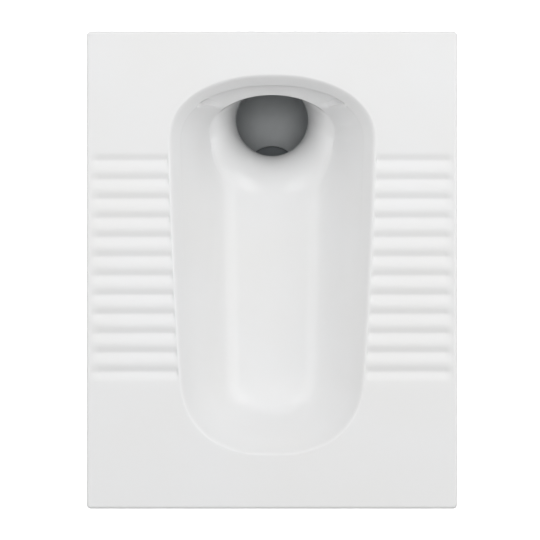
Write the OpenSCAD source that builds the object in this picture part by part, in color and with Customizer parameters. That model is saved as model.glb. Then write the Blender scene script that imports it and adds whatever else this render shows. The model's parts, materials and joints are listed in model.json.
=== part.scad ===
// Squat toilet: a glazed china pan let into the floor, with its flush inlet and its trap.
// +Z is up, +Y runs to the back (the drain end), +X to the right. Millimetres.
// Z = 0 is the plane of the skirt's lower edge, and X = Y = 0 is the middle of the deck.

/* [Deck] */
// Width of the foot deck
deck_w = 450; // [440:1:460]
// Length of the foot deck, front to back
deck_l = 580; // [572:1:590]
// Height of the deck's top above the skirt's lower edge
deck_h = 40; // [38:1:44]
// Thickness of the deck and of its skirt
deck_t = 12; // [11:0.5:13]
// Rounding of the deck's top edge
edge_r = 3.5; // [2:0.5:5]
// Radius of the deck's four corners, seen from above
corner_r = 5; // [3:0.5:8]

/* [Treads] */
// Number of grooves in each tread
groove_count = 12; // [10:1:12]
// Distance from one groove to the next
groove_pitch = 23.35; // [22:0.05:24]
// Depth of a groove at its middle
groove_depth = 2.6; // [2:0.1:4]
// Place of the rearmost groove along the deck
groove_back_y = 133.2; // [128:0.1:136]
// Length over which a groove rises to the deck at its outer end
outer_run = 11; // [8:0.5:14]
// Length over which a groove rises to the deck beside the opening
inner_run = 5; // [4:0.5:8]
// Flat land left between a groove's end and the deck's edge
outer_land = 3.5; // [3.5:0.5:6]
// Flat land left between a groove's end and the opening
inner_land = 3.5; // [3.5:0.5:6]

/* [Opening and lip] */
// Half width of the opening, at the middle of the deck
open_a = 118.1; // [114:0.1:121]
// Gain in half width for each mm towards the back
open_taper = 0.048; // [0.03:0.002:0.06]
// Middle of the opening's rounded back end
back_y = 155; // [150:1:160]
// Reach of the rounded back end
back_b = 80.6; // [78:0.1:84]
// Middle of the opening's rounded front end
front_y = -133; // [-138:1:-128]
// Reach of the rounded front end
front_b = 90.5; // [86:0.5:94]
// Height of the lip that turns down into the opening
lip_h = 16; // [15:0.5:18]
// Share of the lip's height that is rolled over from the deck
roll_share = 0.3; // [0.2:0.05:0.5]

/* [Well] */
// Depth of the sole under the deck's top, at the front end
sole_front = 82; // [76:1:86]
// Depth of the sole under the deck's top, where the drain begins
sole_back = 98; // [94:1:102]
// Thickness of the china
wall = 11; // [10:0.5:12]
// Height of the flush slot under the lip
slot_h = 11; // [9:0.5:12]
// Half width of the flush slot
slot_half = 92; // [86:1:94]

/* [Drain] */
// Distance of the drain's axis from the middle of the deck
drain_y = 186; // [184:0.5:188]
// Radius of the throat where the well runs into it
throat_r = 45; // [44:0.5:46]
// Depth of the throat's lower end under the deck's top
throat_depth = 152; // [148:1:154]
// Half width of the drain's mouth
mouth_a = 76; // [70:1:78]
// Radius of the outlet horn's spigot
spigot_r = 51; // [50.5:0.5:51.5]
// Radius of the waterway at the spigot's lower end
spigot_bore_r = 45; // [43.5:0.5:45.5]
// Level of the spigot's lower end
spigot_end_z = -182; // [-184:1:-180]

/* [Flush inlet] */
// Level of the flush inlet's axis
inlet_z = -34; // [-36:0.5:-33]
// Radius of the flush pipe that the inlet seal grips
flush_pipe_r = 16; // [15:0.5:17]
// Radius of the socket that holds the inlet seal
inlet_socket_r = 21; // [20.5:0.5:22]

/* [Trap] */
// Outer radius of the drain pipe
pipe_r = 55; // [54.8:0.1:55.2]
// Wall thickness of the drain pipe
pipe_t = 3.2; // [3:0.1:4]
// Radius of the trap's bends, on the centre line
bend_r = 62; // [61:0.5:64]
// Level of the middle of the trap's lower bend
bend_z = -250; // [-254:1:-248]
// Level of the outlet's axis
outlet_z = -135; // [-137:1:-134]
// Length of the outlet's straight spigot
outlet_l = 75; // [65:1:90]
// Outer radius of the cleanout's neck
neck_r = 39; // [37:0.5:41]

/* [Hidden] */

china = "#eceff0";
rubber = "#2b2c2e";
pipe_grey = "#b9bdc0";
cap_grey = "#8f9498";

$fn = 72;
fine = 0.3; // gap between curved faces that move or slide past each other

// Shape of the opening: the sides belly slightly, and the ends are flattened ellipses
open_barrel = 0.00007;
back_n = 2.2;
front_n = 2.4;
// Points round the opening: its back end, each side and its front end
back_steps = 36;
side_steps = 12;
front_steps = 28;
ring_steps = back_steps + 2 * side_steps + front_steps;

// Insets [back, side, front] of each outline from the opening's edge: minus is inwards
lip_in = [-11, -11, -9.2];
roll_out = [1, 1, 1];
slot_in = [1, 1, 1];
collar_out = [2.5, 2.5, 2.5];
flange_out = [wall, wall, wall];
wall_out = [for (v = lip_in) v + wall + 2];

// Mouth of the drain, seen from above
mouth_y = 169.8;
mouth_back = 44;
mouth_front = 92;
mouth_side_turn = 55;
throat_wall = 10;

underside_z = deck_h - deck_t;
lip_z = deck_h - lip_h;
throat_z = deck_h - throat_depth;

// ---------- curves that the castings share ----------

function mix(a, b, t) = a + (b - a) * t;
function smooth(t) = let (s = min(1, max(0, t))) s * s * (3 - 2 * s);
function power(v, n) = sign(v) * pow(abs(v), n);
function at_z(flat, z) = [for (p = flat) [p[0], p[1], z]];

// Half width of the opening's sides, which draw in towards the front
function side_half(y) = open_a + open_taper * y - open_barrel * y * y;

function back_point(turn, inset) =
    let (y = back_y + (back_b + inset[0]) * power(sin(turn), 2 / back_n))
    [(side_half(y) + inset[1]) * power(cos(turn), 2 / back_n), y];

function front_point(turn, inset) =
    let (y = front_y + (front_b + inset[2]) * power(sin(turn), 2 / front_n))
    [(side_half(y) + inset[1]) * power(cos(turn), 2 / front_n), y];

function side_point(t, side, inset) =
    let (y = mix(back_y, front_y, t))
    [side * (side_half(y) + inset[1]), y];

// One closed outline, counter-clockwise from the right-hand end of the rounded back
function outline(inset) = concat(
    [for (k = [0 : back_steps - 1]) back_point(180 * k / back_steps, inset)],
    [for (k = [0 : side_steps - 1]) side_point(k / side_steps, -1, inset)],
    [for (k = [0 : front_steps - 1]) front_point(180 + 180 * k / front_steps, inset)],
    [for (k = [0 : side_steps - 1]) side_point(1 - k / side_steps, 1, inset)]);

// The turn about the drain at which each point of the outline runs down into it
turns = concat(
    [for (k = [0 : back_steps - 1]) 180 * k / back_steps],
    [for (k = [0 : side_steps - 1]) 180 + mouth_side_turn * k / side_steps],
    [for (k = [0 : front_steps - 1])
        180 + mouth_side_turn + (180 - 2 * mouth_side_turn) * k / front_steps],
    [for (k = [0 : side_steps - 1]) 360 - mouth_side_turn * (1 - k / side_steps)]);
mouth = [for (t = turns)
    [mouth_a * cos(t), mouth_y + (sin(t) > 0 ? mouth_back : mouth_front) * sin(t)]];
function throat(r) = [for (t = turns) [r * cos(t), drain_y + r * sin(t)]];

// 0 on the well's centre line, 1 on the outline with this inset
function reach(p, inset) =
    let (back = p[1] > back_y,
         n = back ? back_n : front_n,
         over = back ? (p[1] - back_y) / (back_b + inset[0])
                     : max(0, (front_y - p[1]) / (front_b + inset[2])))
    pow(pow(abs(p[0]) / (side_half(p[1]) + inset[1]), n) + pow(over, n), 1 / n);

// How far the well has fallen, 0 at its edge and 1 on the centre line. The wall falls at one
// slope to wall_foot, eases by sole_edge into the sole's slight dish, and is level in the middle.
wall_foot = 0.82;
sole_edge = 0.34;
dish = 0.1;
ease = wall_foot - sole_edge;
eased_fall = 1 - wall_foot + ease * (1 + dish) / 2;
full_fall = eased_fall + dish * sole_edge / 2;
function fall(rho) =
    (rho > wall_foot ? 1 - rho
     : rho < sole_edge ? eased_fall + dish * (sole_edge - rho * rho / sole_edge) / 2
     : 1 - wall_foot + (wall_foot - rho) * (1 + dish) / 2
       + (1 - dish) / 2 * ease / PI * sin(180 * (rho - sole_edge) / ease)) / full_fall;

function sole_depth(y) =
    mix(sole_front, sole_back, (y - front_y) / (mouth_y - mouth_front - front_y));

// Depth under the deck's top of the well, edge_depth at its edge, and extra more on the sole
function well_depth(p, inset, edge_depth, extra) =
    edge_depth + (sole_depth(p[1]) + extra - edge_depth) * fall(min(1, reach(p, inset)));

// ---------- solids from rings of points ----------

// A closed solid from a loop of rings, each with the same number of points
module skin_loop(rings) {
    n = len(rings[0]);
    m = len(rings);
    points = [for (r = rings) for (p = r) p];
    faces = [for (i = [0 : m - 1]) for (k = [0 : n - 1])
        let (a = i * n + k,
             b = i * n + (k + 1) % n,
             c = ((i + 1) % m) * n + (k + 1) % n,
             d = ((i + 1) % m) * n + k)
        each [[a, c, b], [a, d, c]]];
    polyhedron(points = points, faces = faces);
}

// A rectangle with round corners, counter-clockwise
function round_rectangle(w, l, r, steps = 6) = [
    for (q = [0 : 3]) for (k = [0 : steps])
        let (turn = 90 * (q + k / steps),
             sx = (q == 0 || q == 3) ? 1 : -1,
             sy = q < 2 ? 1 : -1)
        [sx * (w / 2 - r) + r * cos(turn), sy * (l / 2 - r) + r * sin(turn)]];

// A rectangle standing on the X axis with its two upper corners round
function top_rounded(w, h, r, steps = 4) = concat(
    [[-w / 2, 0], [w / 2, 0]],
    [for (side = [1, -1]) for (k = [0 : steps])
        let (turn = side > 0 ? 90 * k / steps : 90 + 90 * k / steps)
        [side * (w / 2 - r) + r * cos(turn), h - r + r * sin(turn)]]);

// ---------- china: the foot deck ----------

// Cross-section of a groove. Its front side rises more gently than its back side, and both
// sides run smoothly into the crests that are left at the deck's level.
groove_steps = 8;
groove_top = 80;
gentle_share = 0.56;
steep_share = 0.41;
function groove_rise(t) = (1 + cos(180 * pow(t, 0.78))) / 2;
groove_side = [for (k = [0 : groove_steps])
    let (t = k / groove_steps)
    [t * groove_pitch, -groove_depth * groove_rise(t)]];
groove_section = concat(
    [for (k = [groove_steps : -1 : 1]) [-gentle_share * groove_side[k][0], groove_side[k][1]]],
    [for (p = groove_side) [steep_share * p[0], p[1]]],
    [[steep_share * groove_pitch, groove_top], [-gentle_share * groove_pitch, groove_top]]);

module groove(from, to) {
    translate([from, 0, 0]) rotate([90, 0, 90]) linear_extrude(to - from) polygon(groove_section);
}

// A groove that is level from start to end and rises to the deck past both of them. It is what
// a level groove and one sloping groove for each end have in common.
module risen_groove(start, end) {
    past = 20;
    length = end - start;
    intersection() {
        groove(start - past, end + past);
        translate([end, 0, 0]) rotate([0, -atan(groove_depth / outer_run), 0])
            groove(-1.2 * length - past, past);
        translate([start, 0, 0]) rotate([0, atan(groove_depth / inner_run), 0])
            groove(-past, 1.2 * length + past);
    }
}

module tread() {
    for (k = [0 : groove_count - 1]) {
        y = groove_back_y - k * groove_pitch;
        translate([0, y, deck_h])
            risen_groove(side_half(y) + inner_land + inner_run, deck_w / 2 - outer_land - outer_run);
    }
}

module slab() {
    over = 20;
    intersection() {
        linear_extrude(deck_h) polygon(round_rectangle(deck_w, deck_l, corner_r));
        translate([0, deck_l, -over]) rotate([90, 0, 0]) linear_extrude(2 * deck_l)
            polygon(top_rounded(deck_w, deck_h + over, edge_r));
        translate([-deck_w, 0, -over]) rotate([90, 0, 90]) linear_extrude(2 * deck_w)
            polygon(top_rounded(deck_l, deck_h + over, edge_r));
    }
}

module deck() {
    inside_r = 4;
    color(china) difference() {
        slab();
        translate([0, 0, -1]) linear_extrude(underside_z + 1)
            polygon(round_rectangle(deck_w - 2 * deck_t, deck_l - 2 * deck_t, inside_r));
        translate([0, 0, underside_z - 1]) linear_extrude(deck_t + 2) polygon(outline(collar_out));
        tread();
        mirror([1, 0, 0]) tread();
    }
}

// ---------- china: the well with its rolled lip and the flush slot ----------

// 1 where the flush slot is cut behind the lip, easing to 0 past its two ends
slot_ease = 9;
edge = outline([0, 0, 0]);
slot_share = [for (p = edge) p[1] > back_y ? smooth((slot_half + slot_ease - abs(p[0])) / slot_ease) : 0];

// The lip is rolled over from the deck and then slants inwards to its lower edge, which is
// rounded. The edge rings are [height over the lip's lower end, share of the slant over the slot].
rim_steps = 6;
edge_turn = [[1.6, 0.93], [0.6, 0.985], [0.1, 0.96]];
rim = concat(
    [at_z(outline(collar_out), deck_h)],
    [for (k = [0 : rim_steps])
        let (t = k / rim_steps,
             down = roll_share * t * t)
        at_z(outline(roll_out * (1 - t) * (1 - t) + lip_in * down), deck_h - lip_h * down)],
    [for (e = edge_turn)
        at_z(mix_rings(outline(lip_in * (1 - e[0] / lip_h)), outline(lip_in * e[1])), lip_z + e[0])]);

// The first outline beside the slot, and the second one over it
function mix_rings(beside, over) =
    [for (k = [0 : ring_steps - 1]) mix(beside[k], over[k], slot_share[k])];

// The roof and the floor of the slot at its back, which are lines on the wall beside its ends
function slot_ring(closed, opened) =
    let (flat = mix_rings(outline(lip_in * (1 + closed / lip_h)), outline(slot_in)))
    [for (k = [0 : ring_steps - 1])
        [flat[k][0], flat[k][1], lip_z - mix(closed, opened, slot_share[k])]];
slot_roof = slot_ring(0.8, 0);
slot_floor = slot_ring(1.6, slot_h);

// The wall and the sole. Behind the mouth they give way to the slot's sloping shelf.
wall_rings = 12;
function well_level(p) = deck_h - well_depth(p, lip_in, lip_h, 0);
function well_ring(i) =
    let (t = pow(i / wall_rings, 1.1))
    [for (k = [0 : ring_steps - 1])
        let (p = mix([slot_floor[k][0], slot_floor[k][1]], mouth[k], t),
             shelf = mix(slot_floor[k][2], well_level(mouth[k]), t),
             level = mix(well_level(p), shelf, slot_share[k]))
        [p[0], p[1], min(level, slot_floor[k][2] - 0.25 * i)]];

// From the mouth to the throat: rounded over in front, undercut at the back
flare_rings = 7;
undercut = [for (t = turns) smooth((sin(t) - 0.35) / 0.5)];
function flare_ring(i, from, to, level) =
    let (t = i / flare_rings)
    [for (k = [0 : ring_steps - 1])
        let (across = mix(sin(90 * t), smooth(t), undercut[k]),
             down = mix(1 - cos(90 * t), t, undercut[k]),
             p = mix([from[k][0], from[k][1]], to[k], across))
        [p[0], p[1], mix(from[k][2], level, down)]];

// The outside follows the well in front and at the sides. Behind the drain it drops straight
// for as far as the flush chamber reaches, and then leans in to the throat.
outside_rings = 9;
flange = outline(flange_out);
throat_out = throat(throat_r + throat_wall);
flange_low_z = lip_z - slot_h;
straight_share = 0.35;
lean_share = 0.6;
function straight_end(p) = mix(inlet_z - 32, 0, smooth((abs(p[0]) - 20) / 55));
function front_outside(k, t) =
    let (p = mix(flange[k], mouth[k], t),
         level = deck_h - well_depth(p, wall_out, lip_h + 4, wall))
    [p[0], p[1], max(throat_z + 6, min(level, flange_low_z - 2 * t))];
function back_outside(k, t) =
    let (p = flange[k],
         turn_z = straight_end(p),
         s = lean_share * max(0, t - straight_share) / (1 - straight_share),
         lean = mix(p, throat_out[k], s))
    t < straight_share ? [p[0], p[1], mix(flange_low_z, turn_z, t / straight_share)]
                       : [lean[0], lean[1], mix(turn_z, throat_z, s)];
function outside_ring(i) =
    let (t = pow(i / outside_rings, 1.1))
    [for (k = [0 : ring_steps - 1]) mix(front_outside(k, t), back_outside(k, t), undercut[k])];

// Three ports through the slot's back wall
port_w = 34;
port_h = 7;
port_gap = 9;
port_z = lip_z - slot_h / 2 - 0.5;

module bowl() {
    inner = [for (i = [1 : wall_rings]) well_ring(i)];
    flare = [for (i = [1 : flare_rings])
        flare_ring(i, inner[wall_rings - 1], throat(throat_r), throat_z)];
    outer = [for (i = [outside_rings : -1 : 0]) outside_ring(i)];
    under_flare = [for (i = [flare_rings : -2 : 1])
        flare_ring(i, outer[0], throat(throat_r + throat_wall), throat_z)];
    collar = [at_z(flange, underside_z), at_z(outline(collar_out), underside_z)];
    color(china) difference() {
        skin_loop(concat(rim, [slot_roof, slot_floor], inner, flare, under_flare, outer, collar));
        for (k = [-1 : 1])
            translate([k * (port_w + port_gap) - port_w / 2, back_y + back_b - 12, port_z - port_h / 2])
                cube([port_w, 40, port_h]);
    }
}

// ---------- china: the flush chamber and the outlet horn ----------

chamber_wall = 6;
chamber_back_y = 268;
socket_wall = 7;
socket_depth = 22;
socket_end_y = deck_l / 2 - 3;
fan_half = 70;
fan_r = 12;
fan_foot_r = inlet_socket_r + socket_wall - 3;

// The chamber's fan shape, seen from behind: wide under the deck, narrow at the inlet
module fan(inset) {
    hull() {
        for (side = [-1, 1])
            translate([side * (fan_half - fan_r), underside_z - fan_r]) circle(fan_r - inset);
        translate([0, inlet_z]) circle(fan_foot_r - inset);
    }
}

module flush_chamber() {
    in_bowl_y = back_y + back_b - 6;
    color(china) difference() {
        union() {
            translate([0, chamber_back_y, 0]) rotate([90, 0, 0])
                linear_extrude(chamber_back_y - in_bowl_y) fan(0);
            translate([0, socket_end_y, inlet_z]) rotate([90, 0, 0])
                cylinder(r = inlet_socket_r + socket_wall, h = socket_end_y - in_bowl_y);
        }
        translate([0, 0, throat_z]) linear_extrude(2 * throat_depth) polygon(outline(flange_out));
        translate([0, chamber_back_y - chamber_wall, 0]) rotate([90, 0, 0])
            linear_extrude(chamber_back_y - in_bowl_y) fan(chamber_wall);
        translate([0, socket_end_y + 1, inlet_z]) rotate([90, 0, 0])
            cylinder(r = inlet_socket_r, h = socket_depth + 1);
        translate([0, socket_end_y, inlet_z]) rotate([90, 0, 0])
            cylinder(r = flush_pipe_r - 2, h = socket_end_y - in_bowl_y);
    }
}

module outlet_horn() {
    foot = throat_wall;
    color(china) translate([0, drain_y, 0]) rotate_extrude() polygon([
        [throat_r, throat_z], [throat_r + foot, throat_z], [throat_r + foot, throat_z - 8],
        [spigot_r + 1.5, throat_z - 14], [spigot_r, throat_z - 20],
        [spigot_r, spigot_end_z + 2], [spigot_r - 2, spigot_end_z],
        [spigot_bore_r, spigot_end_z]]);
}

// ---------- places that the trap and its seals share ----------

up_y = drain_y - 2 * bend_r;
low_y = drain_y - bend_r;
bore_r = pipe_r - pipe_t;
trap_socket_r = 58.5;
trap_rim_z = -142;
trap_shoulder_z = spigot_end_z - 9;
socket_t = pipe_t + 0.3;
weld_stop_z = trap_shoulder_z - 6;
weld_end_z = weld_stop_z - 32;
upper_socket_r = pipe_r + fine;
upper_socket_top = outlet_z - bend_r - 4;
upper_socket_end = upper_socket_top - 44;
groove_z = upper_socket_top - 13;
groove_out = 4;
neck_bore_r = neck_r - 5;
neck_end_z = bend_z - bend_r - pipe_r - 17;
washer_t = 3;

// ---------- rubber seals ----------

// The bush that closes the gap between the flush pipe and its socket
module inlet_seal() {
    flange_t = 2.5;
    inner_end = socket_end_y - socket_depth;
    color(rubber) translate([0, 0, inlet_z]) rotate([-90, 0, 0]) translate([0, 0, inner_end])
        rotate_extrude() polygon([
            [flush_pipe_r, 0], [inlet_socket_r - 1.5, 0], [inlet_socket_r, 3],
            [inlet_socket_r, socket_depth], [inlet_socket_r + 4, socket_depth],
            [inlet_socket_r + 4, socket_depth + flange_t - 0.8],
            [inlet_socket_r + 3.2, socket_depth + flange_t], [flush_pipe_r, socket_depth + flange_t]]);
}

// The collar that closes the gap between the horn and the trap's socket, with three fins
seal_top_z = trap_rim_z + 3;
seal_end_z = trap_shoulder_z + 3;
fin_h = 5;
module outlet_seal() {
    fin_gap = 13;
    core = spigot_r + 2.6;
    fins = [for (k = [0 : 2])
        let (z = seal_end_z + 6 + k * fin_gap)
        each [[core, z], [trap_socket_r, z + 2], [trap_socket_r, z + 3], [core, z + fin_h]]];
    color(rubber) translate([0, drain_y, 0]) rotate_extrude() polygon(concat(
        [[spigot_r, seal_end_z], [core - 1, seal_end_z], [core, seal_end_z + 1.5]],
        fins,
        [[core, trap_rim_z], [trap_socket_r + 4, trap_rim_z],
         [trap_socket_r + 4, seal_top_z - 1], [trap_socket_r + 3, seal_top_z],
         [spigot_r, seal_top_z]]));
}

// The ring in the groove of the trap's upper socket
module trap_bend_seal() {
    color(rubber) translate([0, up_y, groove_z]) rotate_extrude()
        polygon([[pipe_r, -2], [pipe_r + 0.8, -3], [pipe_r + groove_out, -3],
                 [pipe_r + groove_out, 3], [pipe_r + 0.8, 3], [pipe_r, 2]]);
}

// The washer under the cleanout's cap
module cleanout_seal() {
    color(rubber) translate([0, low_y, neck_end_z - washer_t]) difference() {
        cylinder(r = neck_r - 0.5, h = washer_t);
        translate([0, 0, -1]) cylinder(r = neck_bore_r, h = washer_t + 2);
    }
}

// ---------- plastic: the trap ----------

// A stretch of a pipe's bend about the X axis, from one turn to another: 0 points down,
// 90 to the back and 180 up
module bend(r, from, sweep) {
    rotate([0, 90, 0]) rotate([0, 0, from])
        rotate_extrude(angle = sweep) translate([bend_r, 0]) circle(r);
}

module at(y, z) {
    translate([0, y, z]) children();
}

// The socket that takes the pan's horn. Its lower end is welded over the trap's pipe.
module trap_connector() {
    flare_h = 8;
    rim_h = 6;
    weld_r = pipe_r + socket_t;
    socket_r = trap_socket_r + socket_t;
    color(pipe_grey) difference() {
        union() {
            at(drain_y, weld_end_z) cylinder(r = weld_r, h = trap_shoulder_z - flare_h - weld_end_z);
            at(drain_y, trap_shoulder_z - flare_h) cylinder(r1 = weld_r, r2 = socket_r, h = flare_h);
            at(drain_y, trap_shoulder_z) cylinder(r = socket_r, h = trap_rim_z - trap_shoulder_z);
            at(drain_y, trap_rim_z - rim_h) cylinder(r = socket_r + 2.5, h = rim_h);
        }
        at(drain_y, weld_end_z - 1) cylinder(r = pipe_r, h = weld_stop_z - weld_end_z + 1);
        at(drain_y, weld_stop_z - 1) cylinder(r = bore_r, h = trap_shoulder_z - weld_stop_z + 2);
        at(drain_y, trap_shoulder_z) cylinder(r = trap_socket_r, h = 100);
    }
}

module trap_body() {
    bulge = socket_t + groove_out + 1;
    color(pipe_grey) difference() {
        union() {
            at(low_y, bend_z) bend(pipe_r, -90, 180);
            at(drain_y, bend_z) cylinder(r = pipe_r, h = weld_stop_z - bend_z);
            at(up_y, bend_z) cylinder(r = pipe_r + 1, h = upper_socket_end - bend_z);
            at(up_y, upper_socket_end)
                cylinder(r = upper_socket_r + socket_t, h = upper_socket_top - upper_socket_end);
            at(up_y, groove_z) rotate_extrude() polygon([
                [pipe_r, -9], [pipe_r + socket_t - 1, -9], [pipe_r + bulge, -5],
                [pipe_r + bulge, 5], [pipe_r + socket_t - 1, 9], [pipe_r, 9]]);
            at(low_y, neck_end_z) cylinder(r = neck_r, h = 40);
        }
        at(low_y, bend_z) bend(bore_r, -90, 180);
        at(drain_y, bend_z) cylinder(r = bore_r, h = 200);
        at(up_y, bend_z) cylinder(r = bore_r, h = 100);
        at(up_y, upper_socket_end) cylinder(r = upper_socket_r, h = 100);
        at(up_y, groove_z - 3) cylinder(r = pipe_r + groove_out, h = 6);
        at(low_y, neck_end_z - 1) cylinder(r = neck_bore_r, h = 40);
    }
}

module trap_outlet_bend() {
    top_z = outlet_z - bend_r;
    spigot_foot = upper_socket_end + 2;
    end_y = up_y - bend_r;
    color(pipe_grey) difference() {
        union() {
            at(end_y, top_z) bend(pipe_r, 90, 90);
            at(up_y, spigot_foot + 3) cylinder(r = pipe_r, h = top_z - spigot_foot - 3);
            at(up_y, spigot_foot) cylinder(r1 = pipe_r - 1.2, r2 = pipe_r, h = 3);
            at(end_y, outlet_z) rotate([90, 0, 0]) cylinder(r = pipe_r, h = outlet_l - 3);
            at(end_y - outlet_l + 3, outlet_z) rotate([90, 0, 0])
                cylinder(r1 = pipe_r, r2 = pipe_r - 1.2, h = 3);
        }
        at(end_y, top_z) bend(bore_r, 90, 90);
        at(up_y, spigot_foot - 1) cylinder(r = bore_r, h = top_z - spigot_foot + 1);
        at(end_y, outlet_z) rotate([90, 0, 0]) cylinder(r = bore_r, h = outlet_l + 1);
    }
}

module cleanout_cap() {
    skirt = 16;
    floor_t = 4;
    cap_r = neck_r + 5.5;
    rib_count = 24;
    inner_z = neck_end_z - washer_t;
    grip_w = 40;
    grip_h = 9;
    color(cap_grey) translate([0, low_y, inner_z]) {
        difference() {
            union() {
                translate([0, 0, -floor_t]) cylinder(r = cap_r, h = floor_t + skirt);
                for (k = [0 : rib_count - 1])
                    rotate(360 * k / rib_count) translate([cap_r - 1, -1.6, -floor_t + 1])
                        cube([2.4, 3.2, floor_t + skirt - 2]);
            }
            cylinder(r = neck_r + fine, h = skirt + 1);
        }
        translate([-grip_w / 2, -5, -floor_t - grip_h]) cube([grip_w, 10, grip_h + 1]);
    }
}

deck();
bowl();
flush_chamber();
outlet_horn();
inlet_seal();
outlet_seal();
trap_connector();
trap_body();
trap_bend_seal();
trap_outlet_bend();
cleanout_seal();
cleanout_cap();
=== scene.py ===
"""Looks for a glazed squat pan with its flush inlet and its trap.

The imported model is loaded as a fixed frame, and the classes below dress it from the top down: the
china pan, the flush inlet, the rubber seals and the plastic trap. Lengths are in metres, +Z is up,
+Y runs to the back, where the drain is, and +X to the right. Z = 0 is the plane of the skirt's
lower edge, and X = Y = 0 is the middle of the deck.
"""

import json
import logging
import math
from dataclasses import dataclass
from enum import Enum
from typing import Any

import bmesh
import bpy
import numpy as np
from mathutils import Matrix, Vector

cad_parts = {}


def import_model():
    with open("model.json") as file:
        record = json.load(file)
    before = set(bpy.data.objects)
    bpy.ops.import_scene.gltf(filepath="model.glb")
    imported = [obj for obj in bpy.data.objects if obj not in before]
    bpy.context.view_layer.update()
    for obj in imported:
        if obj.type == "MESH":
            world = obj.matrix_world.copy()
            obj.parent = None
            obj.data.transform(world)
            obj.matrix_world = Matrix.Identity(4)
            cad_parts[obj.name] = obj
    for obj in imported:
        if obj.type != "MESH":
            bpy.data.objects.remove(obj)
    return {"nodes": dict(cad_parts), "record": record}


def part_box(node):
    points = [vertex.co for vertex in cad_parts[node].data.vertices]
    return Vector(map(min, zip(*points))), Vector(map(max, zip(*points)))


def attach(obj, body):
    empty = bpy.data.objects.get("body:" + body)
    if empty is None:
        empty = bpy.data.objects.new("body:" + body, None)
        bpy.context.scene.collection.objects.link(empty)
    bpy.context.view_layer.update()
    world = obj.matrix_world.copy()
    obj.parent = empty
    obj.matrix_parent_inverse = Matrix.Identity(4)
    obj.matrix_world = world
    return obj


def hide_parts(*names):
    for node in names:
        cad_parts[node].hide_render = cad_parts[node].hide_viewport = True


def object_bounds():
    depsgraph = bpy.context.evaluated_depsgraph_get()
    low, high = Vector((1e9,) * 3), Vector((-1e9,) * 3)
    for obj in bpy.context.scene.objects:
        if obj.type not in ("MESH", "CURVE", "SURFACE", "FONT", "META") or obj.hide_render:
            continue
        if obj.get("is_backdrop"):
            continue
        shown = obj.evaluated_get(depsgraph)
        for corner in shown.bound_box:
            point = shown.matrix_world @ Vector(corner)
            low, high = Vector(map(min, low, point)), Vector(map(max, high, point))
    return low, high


LOG = logging.getLogger("squat_pan")
MM = 0.001

Place = tuple[float, float, float]
Colour = tuple[float, float, float]
Inset = tuple[float, float, float]
Span = tuple[float, float]
Profile = list[tuple[float | np.ndarray, float]]


class Body(Enum):
    """The bodies: all that is fixed, the cap, and the washer that travels along its thread."""

    PAN = "pan"
    WASHER = "washer"
    CAP = "cap"


class Slot(Enum):
    """The record's material slots."""

    CHINA = "glazed_china"
    RUBBER = "seal_rubber"
    TRAP = "trap_plastic"
    CAP = "cap_plastic"


class Merge(Enum):
    """What a solid does to a piece."""

    JOIN = "UNION"
    CUT = "DIFFERENCE"


# Places and radii at which pieces meet, so that both use one value.
DECK_THICK = 12 * MM
WELL_WALL = 11 * MM
RIM_COLLAR = 2.5 * MM
DRAIN_Y = 186 * MM
THROAT_R = 45 * MM
FLUSH_Z = -34 * MM
FLUSH_SOCKET_R = 21 * MM
FLUSH_SOCKET_END = 287 * MM
HORN_R = 51 * MM
HORN_SOCKET_R = 58.5 * MM
HORN_SOCKET_RIM = -142 * MM
PIPE_R = 55 * MM
LOW_BEND_Y = 124 * MM
UP_LIMB_Y = 62 * MM
RING_Z = -214 * MM
RING_HALF = 3 * MM
RING_OUT_R = 59 * MM
NECK_BORE = 34 * MM
NECK_END = -384 * MM
WASHER_THICK = 3 * MM


# ---------- finishes ----------


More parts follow.
